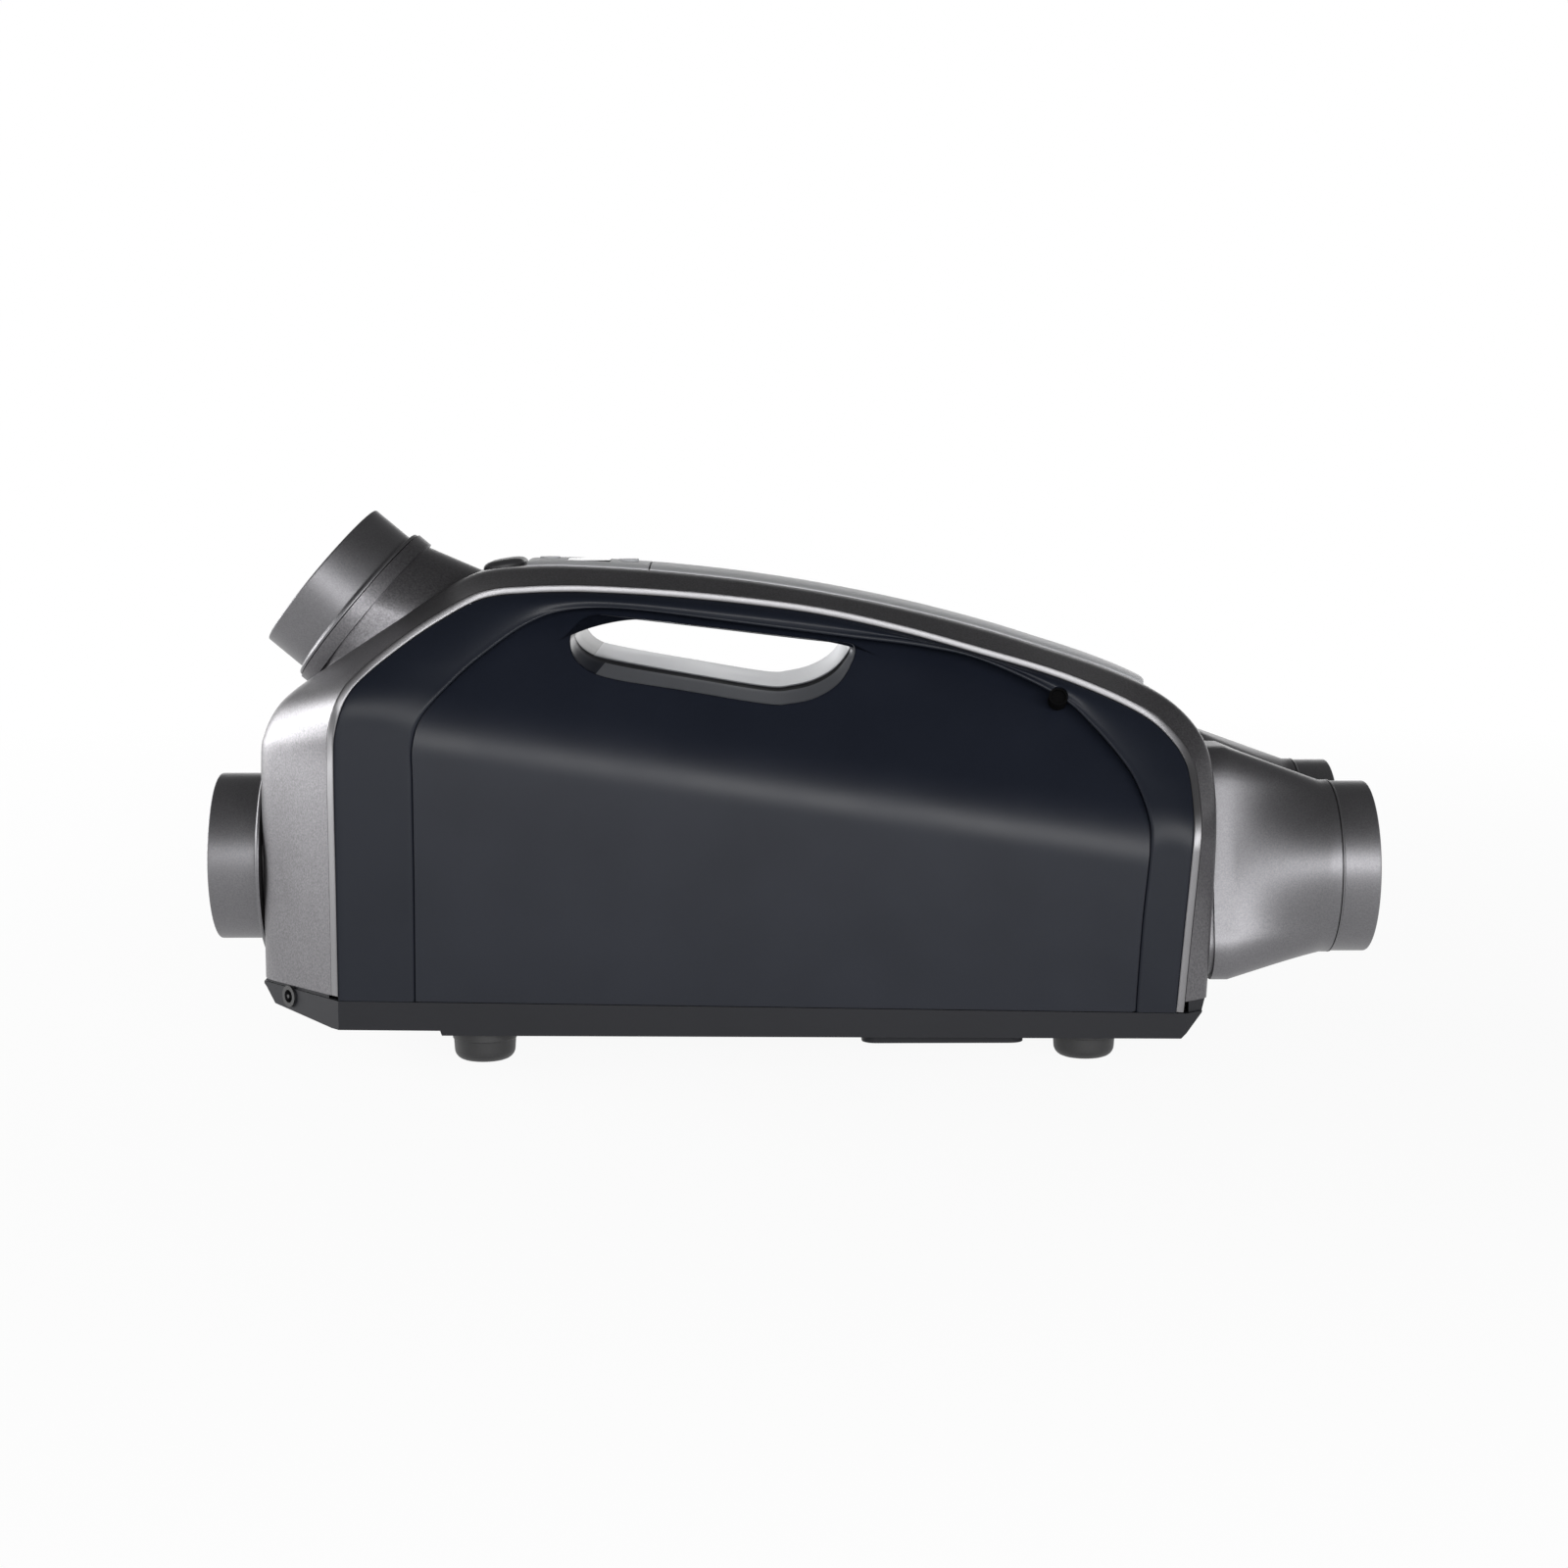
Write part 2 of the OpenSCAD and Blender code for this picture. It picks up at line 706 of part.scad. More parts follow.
// Push switches on the board, each a little below its button.
module switch(x, top_z, wid) {
    translate([x - wid / 2, -wid / 2, board_z + board_t])
        cube([wid, wid, 4]);
    translate([x, 0, board_z + board_t + 3])
        cylinder(r = wid / 4, h = top_z - board_z - board_t - 3);
}
module button_switches() {
    color(steel) {
        switch(speed_up_x, speed_up_z - 7, 6);
        switch(speed_down_x, speed_down_z - 7, 6);
        switch(power_pt[0] + 1, 272, 9);
    }
}

// ---- plugs over the side fixing holes ----------------------------
module plug_left() {
    color(black) translate([plug_pt[0], side_y(plug_pt[0], plug_pt[1]),
                            plug_pt[1]])
        rotate([bend_lean - 90, 0, 0]) difference() {
            translate([0, 0, -7]) cylinder(r = plug_r, h = 6.9);
            translate([0, 0, -1.6]) cylinder(r = plug_r - 1.2, h = 2);
        }
}
module plug_right() { to_right() plug_left(); }

// ---- intake ducts -------------------------------------------------
socket_r = 52;
collar_r = duct_d / 2;
collar_in = collar_r - duct_t;
upper_pt = [-248.7, 251.8];
module at_lower() {
    translate([-rear_x, 0, lower_duct_z]) rotate([0, -90, 0]) children();
}
module at_upper() {
    translate([upper_pt[0], 0, upper_pt[1]])
        rotate([0, upper_duct_lift - 90, 0]) children();
}
// A collar with its dished flange, its mouth at height h.
module collar(h, flange_r, flange_z, flange_h) {
    difference() {
        rotate_extrude()
            polygon([[collar_in, h], [collar_r - 0.5, h],
                     [collar_r, h - 0.5], [collar_r, flange_z + flange_h],
                     [collar_r + 1, flange_z + flange_h - 0.8],
                     [flange_r - 0.8, flange_z + 2],
                     [flange_r, flange_z + 1.2], [flange_r, flange_z],
                     [collar_in - 1.5, flange_z],
                     [collar_in - 1.5, -4], [collar_in - 3.5, -4],
                     [collar_in - 3.5, flange_z + 3],
                     [collar_in, flange_z + 5]]);
    }
}
// A grille of rings and spokes, fitted inside a collar.
module guard(r) {
    for (ring = [r - 2, r * 0.7, r * 0.4])
        tube(ring + 2, ring, 3);
    cylinder(r = r * 0.16, h = 3);
    for (a = [30 : 60 : 330])
        rotate([0, 0, a]) translate([r * 0.14, -1.2, 0.4])
            cube([r * 0.84, 2.4, 2.2]);
}
guard_r = collar_in - 0.1;
socket_bore_r = collar_in - 1.1;
module rear_socket() {
    color(charcoal) at_lower() difference() {
        union() {
            translate([0, 0, -18]) cylinder(r = socket_r, h = 19);
            translate([0, 0, -5.7]) cylinder(r = socket_r + 3.5, h = 3.2);
        }
        translate([0, 0, -20]) cylinder(r = socket_bore_r, h = 30);
    }
}
lower_len = 34;
lower_flange_z = 1.5;
module lower_collar() {
    color(gunmetal) at_lower() collar(lower_len, 62, lower_flange_z, 5);
}
module lower_guard() {
    color(black) at_lower() translate([0, 0, 20]) guard(guard_r);
}
module lower_filter() {
    color(charcoal) at_lower() translate([0, 0, -17])
        cylinder(r = socket_bore_r + 0.1, h = 10);
}

// Flared neck between the sloping rear deck and the upper collar.
neck_top = -1.9;
module upper_neck() {
    color(gunmetal) difference() {
        hull() {
            on_slope() translate([0, 0, -4]) linear_extrude(0.1)
                stadium(2 * neck_r + neck_long, 2 * neck_r, $fn = 32);
            at_upper() translate([0, 0, neck_top - 0.1])
                cylinder(r = 53, h = 0.1, $fn = 48);
        }
        under_skin(2, 12);
        at_upper() translate([0, 0, neck_top])
            cylinder(r = 2 * neck_r, h = 40);
        at_upper() translate([0, 0, -60])
            cylinder(r = neck_bore_r, h = 80);
    }
}
module upper_socket() {
    color(gunmetal) difference() {
        at_upper() translate([0, 0, neck_top])
            tube(55, socket_bore_r, 8.4);
        under_skin(2, 12);
    }
}
upper_len = 36;
module upper_collar() {
    color(gunmetal) at_upper() collar(upper_len, 54, 7, 3);
}
module upper_guard() {
    color(black) at_upper() translate([0, 0, 20]) guard(guard_r);
}
module upper_filter() {
    color(charcoal) at_upper() translate([0, 0, -12])
        cylinder(r = neck_bore_r + 0.1, h = 8);
}

// ---- outlet ducts -------------------------------------------------
outlet_y = outlet_pitch / 2;
outlet_base_x = 247.2;
outlet_collar_x = 318;
outlet_end_x = 340;
// Corners of a duct's foot on the front face, as [y, z].
OUTLET_FOOT = [[28, 64], [79, 64], [28, 156], [56, 156]];
foot_round = 21;
module outlet_foot(grow) {
    for (p = OUTLET_FOOT)
        translate([p[0], p[1]]) circle(r = foot_round + grow, $fn = 32);
}
// Stands a y, z outline up at x and gives it a depth along X.
module standing(x, depth) {
    translate([x, 0, 0]) rotate([90, 0, 90]) linear_extrude(depth)
        children();
}
// The part of the foot that passes through the front face.
module outlet_spigot(grow, stretch) {
    hull() standing(232 - stretch, 15.2 + 2 * stretch)
        outlet_foot(grow - 3);
}
module outlet_funnel(foot_x, shrink, past) {
    hull() {
        standing(foot_x, outlet_base_x + 9 - foot_x) outlet_foot(-shrink);
        translate([outlet_collar_x - 0.1 + past, outlet_y, outlet_z])
            rotate([0, 90, 0])
                cylinder(r = collar_r + 0.8 - shrink, h = 0.1, $fn = 48);
    }
}
module outlet_left() {
    color(light_metal) difference() {
        union() {
            difference() {
                outlet_funnel(240, 0, 0);
                under_skin(20, 28);
            }
            outlet_spigot(0, 0);
        }
        outlet_funnel(outlet_base_x + 2, 2.8, 0.1);
        outlet_spigot(-2.5, 3);
    }
}
module outlet_right() { to_right() outlet_left(); }
module outlet_collar_left() {
    color(gunmetal) translate([outlet_collar_x, outlet_y, outlet_z])
        rotate([0, 90, 0]) rotate_extrude()
            polygon([[collar_in, 0], [collar_r + 0.8, 0],
                     [collar_r + 0.8, 1], [collar_r, 1.8],
                     [collar_r, outlet_end_x - outlet_collar_x - 0.5],
                     [collar_r - 0.5, outlet_end_x - outlet_collar_x],
                     [collar_in, outlet_end_x - outlet_collar_x]]);
}
module outlet_collar_right() { to_right() outlet_collar_left(); }
module outlet_guard_left() {
    color(black) translate([outlet_collar_x + 6, outlet_y, outlet_z])
        rotate([0, 90, 0]) guard(guard_r);
}
module outlet_guard_right() { to_right() outlet_guard_left(); }

// ---- fans ---------------------------------------------------------
fan_x = 80;
tube_x = 72;
tube_end = 231.9;
fan_tube_r = fan_bore_r + 2.8;
motor_x = 108;
motor_len = 58;
motor_r = 21;
module at_fan(x) {
    translate([x, outlet_y, outlet_z]) rotate([0, 90, 0]) children();
}
module bulkhead() {
    color(charcoal) difference() {
        standing(tube_x + 10, 4)
            polygon([[-108, floor_z + floor_t], [108, floor_z + floor_t],
                     [108, 100], [100, 126], [86, 150], [54, 190],
                     [-54, 190], [-86, 150], [-100, 126], [-108, 100]]);
        for (s = [-1, 1])
            translate([tube_x + 5, s * outlet_y, outlet_z])
                rotate([0, 90, 0]) cylinder(r = fan_tube_r, h = 20);
        for (s = [-1, 1])
            translate([tube_x + 5, s * 22.8, 28.8])
                rotate([0, 90, 0]) cylinder(r = wire_r + 1.4, h = 20);
    }
}
module fan_tube_left() {
    color(black) {
        difference() {
            union() {
                at_fan(tube_x) cylinder(r = fan_tube_r,
                                        h = tube_end - tube_x);
                hull() standing(tube_end - 2, 2) outlet_foot(-1);
            }
            at_fan(tube_x - 1) cylinder(r = fan_bore_r, h = far / 2);
        }
        for (a = [30 : 60 : 330])
            at_fan(motor_x + 12) rotate([0, 0, a])
                translate([motor_r - 0.2, -1.2, 0])
                    cube([fan_bore_r - motor_r + 0.7, 2.4, 34]);
    }
}
module fan_tube_right() { to_right() fan_tube_left(); }
module motor_left() {
    color(steel) at_fan(motor_x) difference() {
        union() {
            cylinder(r = motor_r, h = motor_len);
            translate([0, 0, motor_len]) cylinder(r = 10, h = 4);
        }
        translate([0, 0, 2.5]) cylinder(r = motor_r - 2.5,
                                        h = motor_len - 5);
        translate([0, 0, -1]) cylinder(r = 8, h = motor_len + 8);
    }
}
module motor_right() { to_right() motor_left(); }
module bearings_left() {
    color(silver) for (z = [0, motor_len - 5])
        at_fan(motor_x + z) tube(8, shaft_r + shaft_gap, 5);
}
module bearings_right() { to_right() bearings_left(); }
module shaft_left() {
    color(steel) at_fan(fan_x - 2) cylinder(r = shaft_r, h = 90);
    color(gunmetal) at_fan(motor_x + 12)
        tube(15, shaft_r, motor_len - 24);
}
module shaft_right() { to_right() shaft_left(); }
hub_r = 15;
blade_len = 20;
module blade(lean) {
    rotate([lean, 0, 0]) translate([hub_r - 2, -1, -blade_len / 2])
        cube([fan_bore_r - hub_r - 0.5, 2, blade_len]);
}
module impeller_left() {
    color(charcoal) at_fan(fan_x) difference() {
        union() {
            translate([0, 0, 0]) cylinder(r = hub_r, h = 22);
            intersection() {
                for (k = [0 : fan_blades - 1])
                    rotate([0, 0, 360 * k / fan_blades])
                        translate([0, 0, 11]) blade(48);
                translate([0, 0, 1]) cylinder(r = fan_bore_r - 1.5,
                                              h = 20);
            }
        }
        translate([0, 0, -1]) cylinder(r = shaft_r, h = 30);
    }
}
module impeller_right() { to_right() impeller_left(); }

// ---- electrics ----------------------------------------------------
board_x = -60;
module power_board() {
    color(green) translate([board_x, -45, 30]) {
        cube([110, 90, 1.6]);
        for (x = [12, 92], y = [8, 76])
            translate([x, y, -8.7]) cylinder(r = 3, h = 8.7);
    }
    color(black) for (p = [[-40, -28, 11], [-40, 0, 11], [-12, -30, 8]])
        translate([p[0], p[1], 31.6]) cylinder(r = p[2], h = 26);
    color(charcoal) translate([15, -35, 31.6]) cube([26, 30, 22]);
}
module heat_sink() {
    color(silver) translate([-18, 8, 31.6]) {
        cube([44, 30, 4]);
        for (k = [0 : 6])
            translate([0, k * 4.7, 4]) cube([44, 1.6, 22]);
    }
}
// A wire: an eight-sided tube along a smooth line through a few points.
wire_r = 2.2;
function wire_ring(line, i) =
    let (a = line[max(i - 1, 0)], b = line[min(i + 1, len(line) - 1)],
         run = b - a, d = run / norm(run),
         across = cross(d, [0.1, 0.9, 0.3]), u = across / norm(across),
         v = cross(d, u))
    [for (k = [0 : 7])
        line[i] + wire_r * (u * cos(k * 45) - v * sin(k * 45))];
module wire(points) {
    line = sampled(points, 3);
    loft([for (i = [0 : len(line) - 1]) wire_ring(line, i)]);
}
module wiring() {
    color(black) {
        wire([[-284, -76, 33.5], [-262, -60, 30], [-180, -36, 26],
              [-110, -24, 26], [-72, -20, 29], [-60.1, -20, 31]]);
        wire([[-158, 0, 263.9], [-158, 0, 248], [-150, 0, 190],
              [-130, 4, 110], [-96, 12, 44], [-60.1, 20, 31]]);
        for (s = [-1, 1])
            wire([[50.1, s * 20, 31], [70, s * 22, 29],
                  [120, s * 26, 30], [175, s * 40, 40],
                  [185, s * outlet_y, outlet_z - fan_tube_r - 1.6]]);
    }
}

main_shell();
trim_right();
trim_left();
side_frame_right();
side_frame_left();
side_panel_right();
side_panel_left();
handle_liner();
base_tray();
belly_hatch();
belly_screws();
foot(FEET[0]);  // foot_rear_right
foot(FEET[1]);  // foot_rear_left
foot(FEET[2]);  // foot_front_right
foot(FEET[3]);  // foot_front_left
foot_screws();
top_strip();
control_panel();
display_window();
power_button();
speed_up_button();
speed_down_button();
control_board();
button_switches();
plug_right();
plug_left();
power_inlet();
rear_socket();
lower_collar();
lower_guard();
lower_filter();
upper_neck();
upper_socket();
upper_collar();
upper_guard();
upper_filter();
outlet_right();
outlet_left();
outlet_guard_right();
outlet_guard_left();
outlet_collar_right();
outlet_collar_left();
bulkhead();
fan_tube_right();
fan_tube_left();
motor_right();
motor_left();
bearings_right();
bearings_left();
shaft_right();
shaft_left();
impeller_right();
impeller_left();
power_board();
heat_sink();
wiring();
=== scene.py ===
"""Looks of the portable twin blower: an arch shell over a base tray, two
intake ducts at the rear, a handle slot and two outlet ducts at the front.

The outlines repeat those of the part's source, in millimetres.  The near
side is the machine's right, towards -Y; each side is drawn once and
mirrored.  make_piece turns them into metres.
"""

import json
import math

import bmesh
import bpy
from mathutils import Matrix, Vector

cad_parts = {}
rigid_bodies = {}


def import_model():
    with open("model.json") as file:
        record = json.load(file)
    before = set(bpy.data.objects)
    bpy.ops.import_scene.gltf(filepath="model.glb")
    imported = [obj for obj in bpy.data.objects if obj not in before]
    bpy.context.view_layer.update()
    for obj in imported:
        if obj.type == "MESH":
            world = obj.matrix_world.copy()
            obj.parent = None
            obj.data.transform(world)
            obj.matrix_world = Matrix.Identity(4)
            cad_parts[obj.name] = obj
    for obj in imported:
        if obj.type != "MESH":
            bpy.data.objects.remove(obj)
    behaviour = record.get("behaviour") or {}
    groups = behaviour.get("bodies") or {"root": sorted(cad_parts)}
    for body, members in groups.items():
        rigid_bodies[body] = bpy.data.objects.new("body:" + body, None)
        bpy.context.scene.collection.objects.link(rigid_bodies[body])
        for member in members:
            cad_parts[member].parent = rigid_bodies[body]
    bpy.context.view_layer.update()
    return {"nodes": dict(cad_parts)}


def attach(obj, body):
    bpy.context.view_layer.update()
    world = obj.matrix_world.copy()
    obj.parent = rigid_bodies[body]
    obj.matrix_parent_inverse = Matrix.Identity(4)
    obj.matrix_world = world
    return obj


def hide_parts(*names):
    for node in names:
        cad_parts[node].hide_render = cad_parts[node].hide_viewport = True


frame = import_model()
nodes = frame["nodes"]
MM = 0.001

# ---- outlines shared with the part's source, in millimetres -------------
HALF_W = 116
BEND_R, BEND_LEAN, BEND_H = 50, math.radians(30), 156.5
BEND_TILT = math.radians(9.1)
SHELL_T = 2.5
TRIM_W = 4.5
PANEL_T = 2.5
REAR_X = 306

# Stations along the arch: the x, z and half width of its flat band, then
# the x and z of its side rim.
ARCH = [
    (-306, 41, 60, -259, 41),
    (-306, 105, 60, -259, 105),
    (-306, 168, 60, -259, 172),
    (-303.5, 185, 60, -257.5, 194),
    (-296, 200, 59, -250.5, 213.5),
    (-284, 211.5, 57.5, -239, 227),
    (-262, 226.5, 55, -217, 244.5),
    (-232, 246.5, 53, -198, 257),
    (-200, 267.5, 50, -180, 266.8),
    (-183, 276.5, 48, -166, 270.5),
    (-168, 280, 47, -151, 271.6),
    (-150, 281.2, 47, -135, 272.2),
    (-126, 281.4, 47, -112, 272),
    (-81, 279, 47, -72, 269.7),
    (-30, 273.8, 47, -26, 265.3),
    (20, 266.3, 47, 21, 258.8),
    (70, 256.3, 47, 69, 248.3),
    (116, 244.6, 47, 114, 235.8),
    (154, 233, 47, 150, 225.4),
    (183, 223.5, 49, 176, 216),
    (208, 213.4, 56, 198, 206.3),
    (224, 204, 66, 213, 197.5),
    (236, 192, 75, 224, 187),
    (243, 179, 82, 231, 176.5),
    (246, 164, 88, 234.3, 165),
    (246.5, 142, 98, 235.3, 142),
    (245.5, 115, 103, 233.5, 115),
    (243.8, 80, 104, 230.5, 80),
    (241.8, 37, 104, 227, 37),
]
# Where the side frame meets the recessed panel, as (x, z).
CREASE = [
    (-211, 36), (-210.5, 106), (-210.5, 162), (-210.3, 184),
    (-204.5, 201), (-186.5, 221), (-170, 235), (-148, 250),
    (-126, 257.5), (-92, 258.2), (-28, 250.3), (36, 241.8),
    (80, 236), (114, 228), (156.5, 208.4), (175, 192.6),
    (191, 174), (199.3, 160.7), (205, 143.7), (206, 127),
    (202, 82), (199, 33),
]
# The handle slot's mouth and the outer edge of its bevel, as (x, z).
SLOT = [
    (-122, 241), (-118.5, 249), (-110, 253), (-98, 252.2),
    (-45, 246), (8, 239.6), (30, 237.2), (37, 236),
    (35.5, 231), (28, 222.5), (17, 216.3), (4, 213),
    (-11, 212.4), (-56, 219.8), (-101, 228), (-115, 232.4),
]
BEVEL = [
    (-123.5, 241), (-119.5, 250), (-110.3, 254.4), (-98, 253.6),
    (-45, 247.4), (8, 241), (30.5, 238.6), (39.5, 236.5),
    (39, 229), (31, 216.5), (18, 208.5), (3, 205.2),
    (-12, 205.2), (-58, 212.8), (-103, 220.5), (-119.5, 229.5),
]
SLOT_Y = 52
PLUG = (156.5, 208.4)
PLUG_R = 5.5


# ---- curves -------------------------------------------------------------
def mix(a, b, u):
    return tuple(p + (q - p) * u for p, q in zip(a, b))


def blend4(a, b, c, d, t):
    return tuple(
        0.5 * (2 * q + (r - p) * t + (2 * p - 5 * q + 4 * r - s) * t * t
               + (3 * q - p - 3 * r + s) * t ** 3)
        for p, q, r, s in zip(a, b, c, d))


def along(pts, t):
    """Point t of the smooth open curve through pts, one unit a point."""
    last = len(pts) - 1
    i = min(int(t), last - 1)
    return blend4(pts[max(i - 1, 0)], pts[i], pts[i + 1],
                  pts[min(i + 2, last)], t - i)


def sampled(pts, per):
    return [along(pts, k / per) for k in range((len(pts) - 1) * per + 1)]


def looped(pts, per):
    n = len(pts)
    return [blend4(pts[i - 1], pts[i], pts[(i + 1) % n], pts[(i + 2) % n],
                   k / per)
            for i in range(n) for k in range(per)]


def moved(pts, d, closed=False):
    """The curve moved sideways by d, to the right of its travel."""
    out = []
    n = len(pts)
    for i, p in enumerate(pts):
        a = pts[(i - 1) % n] if closed else pts[max(i - 1, 0)]
        b = pts[(i + 1) % n] if closed else pts[min(i + 1, n - 1)]
        run = math.hypot(b[0] - a[0], b[1] - a[1]) or 1
        out.append((p[0] + d * (b[1] - a[1]) / run,
                    p[1] - d * (b[0] - a[0]) / run))
    return out


def evened(pts, n, closed=False):
    """n points spread evenly along the curve."""
    if closed:
        pts = pts + pts[:1]
    runs = [0]
    for a, b in zip(pts, pts[1:]):
        runs.append(runs[-1] + math.dist(a, b))
    spans = n if closed else n - 1
    out, i = [], 0
    for k in range(n):
        want = runs[-1] * k / spans
        while i < len(pts) - 2 and runs[i + 1] < want:
            i += 1
        step = runs[i + 1] - runs[i] or 1
        out.append(mix(pts[i], pts[i + 1], (want - runs[i]) / step))
    return out


def q_at(x, z):
    return z * math.cos(BEND_TILT) + x * math.sin(BEND_TILT)


def side_y(x, z):
    """Half width of the machine's side surface."""
    q = q_at(x, z)
    end = BEND_H + BEND_R * math.sin(BEND_LEAN)
    if q <= BEND_H:
        return HALF_W
    if q <= end:
        return HALF_W - BEND_R + math.sqrt(BEND_R ** 2 - (q - BEND_H) ** 2)
    return (HALF_W - BEND_R * (1 - math.cos(BEND_LEAN))
            - (q - end) * math.tan(BEND_LEAN))


COVE_H, COVE_R, COVE_LEAN = 145, 60, math.radians(36)
PANEL_Y = HALF_W - 1
COVE_MID = COVE_H + COVE_R * math.sin(COVE_LEAN)
COVE_MID_Y = PANEL_Y - COVE_R * (1 - math.cos(COVE_LEAN))


def panel_y(x, z):
    """Half width of the recessed panel."""
    q = q_at(x, z)
    if q <= COVE_H:
        return PANEL_Y
    if q <= COVE_MID:
        return PANEL_Y - COVE_R + math.sqrt(COVE_R ** 2 - (q - COVE_H) ** 2)
    return COVE_MID_Y - (q - COVE_MID) * math.tan(COVE_LEAN)


SILL_REAR, SILL_DROP = 38.6, 8.4
SILL_START, SILL_RUN = -259, 486
SILL_GAP = 0.2


def sill(x):
    """Height of the base tray's top edge."""
    return SILL_REAR - SILL_DROP * (x - SILL_START) / SILL_RUN


def over_sill(p):
    """The point just above the tray's edge, at the x of p."""
    return (p[0], sill(p[0]) + SILL_GAP)


CORNER_CUT = 4.9
CORNER_X, CORNER_TOP, CORNER_FADE = -200, 213, 40


def corner_cut(x, z):
    """How far the side's outer edge is set back at the rear corner, where
    the trim lies in the plane of the slanting face."""
    if x > CORNER_X:
        return 0
    fade = min(max((CORNER_TOP - z) / CORNER_FADE, 0), 1)
    return CORNER_CUT * fade * fade * (3 - 2 * fade)


RIM = sampled([(row[3], row[4]) for row in ARCH], 6)


# ---- meshes -------------------------------------------------------------
def make_piece(name, points, faces, material, body, replaced=(), slot=None,
               bands=None, sharp=32):
    """A mesh from points in millimetres; bands gives faces other materials."""
    mesh = bpy.data.meshes.new(name)
    mesh.from_pydata([[c * MM for c in p] for p in points], [], faces)
    obj = bpy.data.objects.new(name, mesh)
    bpy.context.scene.collection.objects.link(obj)
    mesh.materials.append(material)
    if bands:
        others, index_of = bands
        for other in others:
            mesh.materials.append(other)
        mesh.polygons.foreach_set("material_index", index_of)
    tidy_mesh(obj, sharp)
    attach(obj, body)
    if replaced:
        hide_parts(*replaced)
    return obj


def tidy_mesh(obj, sharp):
    mesh = obj.data
    work = bmesh.new()
    work.from_mesh(mesh)
    bmesh.ops.remove_doubles(work, verts=work.verts, dist=2e-6)
    bmesh.ops.recalc_face_normals(work, faces=work.faces)
    work.to_mesh(mesh)
    work.free()
    mesh.shade_smooth()
    mesh.set_sharp_from_angle(angle=math.radians(sharp))


def loft_faces(rings, closed=False):
    """Points and quads of a skin through rings of equal length."""
    n, m = len(rings[0]), len(rings)
    points = [p for ring in rings for p in ring]
    faces = []
    for i in range(m if closed else m - 1):
        j = (i + 1) % m
        for k in range(n):
            l = (k + 1) % n
            faces.append((i * n + k, i * n + l, j * n + l, j * n + k))
    if not closed:
        faces.append(tuple(range(n - 1, -1, -1)))
        faces.append(tuple(range((m - 1) * n, m * n)))
    return points, faces


def loft(name, rings, material, body="body", closed=False, others=(),
         band_of=None, **facts):
    """A lofted piece.  band_of(i, k) picks the material of strip k where it
    leaves ring i: 0 is the main one, then those in others."""
    points, faces = loft_faces(rings, closed)
    bands = None
    if band_of:
        n = len(rings[0])
        spans = len(rings) if closed else len(rings) - 1
        index = [band_of(i, k) for i in range(spans) for k in range(n)]
        index += [0] * (len(faces) - len(index))
        bands = (others, index)
    return make_piece(name, points, faces, material, body, bands=bands,
                      **facts)


def both_sides(name, rings, material, replaced, **facts):
    """The same piece on the near and far side; rings are for the far one."""
    for side, sign in (("right", -1), ("left", 1)):
        turned = [[(p[0], sign * p[1], p[2]) for p in ring] for ring in rings]
        loft(f"{name}_{side}", turned, material,
             replaced=[f"{node}_{side}" for node in replaced], **facts)


def placed(points, place):
    """Points moved by a matrix whose move is in millimetres."""
    return [tuple(place @ Vector(p)) for p in points]


def revolve(name, profile, place, material, body="body", turns=128, **facts):
    """A closed profile of (radius, height) turned about place's Z axis."""
    rings = []
    for k in range(turns):
        a = 2 * math.pi * k / turns
        rings.append(placed([(r * math.cos(a), r * math.sin(a), h)
                             for r, h in profile], place))
    return loft(name, rings, material, body, closed=True, **facts)


def rounded_profile(corners, segments=4):
    """Closed profile with rounded corners, each (r, h, radius)."""
    out = []
    n = len(corners)
    for i, (x, y, radius) in enumerate(corners):
        p = Vector((x, y))
        a = Vector(corners[i - 1][:2]) - p
        b = Vector(corners[(i + 1) % n][:2]) - p
        cut = min(radius, a.length * 0.45, b.length * 0.45)
        if cut < 1e-6:
            out.append((x, y))
            continue
        start, end = p + a.normalized() * cut, p + b.normalized() * cut
        for k in range(segments + 1):
            u = k / segments
            q = start * (1 - u) ** 2 + p * (2 * u * (1 - u)) + end * u * u
            out.append((q.x, q.y))
    return out


def cutter(rings):
    """A closed body through the rings, for cut()."""
    points, faces = loft_faces(rings)
    mesh = bpy.data.meshes.new("cutter")
    mesh.from_pydata([[c * MM for c in p] for p in points], [], faces)
    work = bmesh.new()
    work.from_mesh(mesh)
    bmesh.ops.recalc_face_normals(work, faces=work.faces)
    work.to_mesh(mesh)
    work.free()
    obj = bpy.data.objects.new("cutter", mesh)
    bpy.context.scene.collection.objects.link(obj)
    return obj


def round_cutter(place, radius, low, high, turns=96):
    ring = [(radius * math.cos(2 * math.pi * k / turns),
             radius * math.sin(2 * math.pi * k / turns))
            for k in range(turns)]
    return cutter([placed([(x, y, h) for x, y in ring], place)
                   for h in (low, high)])


def cut(obj, cutters, sharp=32):
    """Cuts the cutters out of obj and removes them."""
    for tool in cutters:
        modifier = obj.modifiers.new("cut", "BOOLEAN")
        modifier.operation = "DIFFERENCE"
        modifier.object = tool
        modifier.solver = "EXACT"
    bpy.context.view_layer.update()
    graph = bpy.context.evaluated_depsgraph_get()
    mesh = bpy.data.meshes.new_from_object(obj.evaluated_get(graph))
    obj.modifiers.clear()
    obj.data = mesh
    for tool in cutters:
        bpy.data.objects.remove(tool)
    mesh.shade_smooth()
    mesh.set_sharp_from_angle(angle=math.radians(sharp))


# ---- materials ----------------------------------------------------------
def node_material(name):
    material = bpy.data.materials.new(name)
    material.use_nodes = True
    tree = material.node_tree
    shader = tree.nodes["Principled BSDF"]
    return material, tree, shader


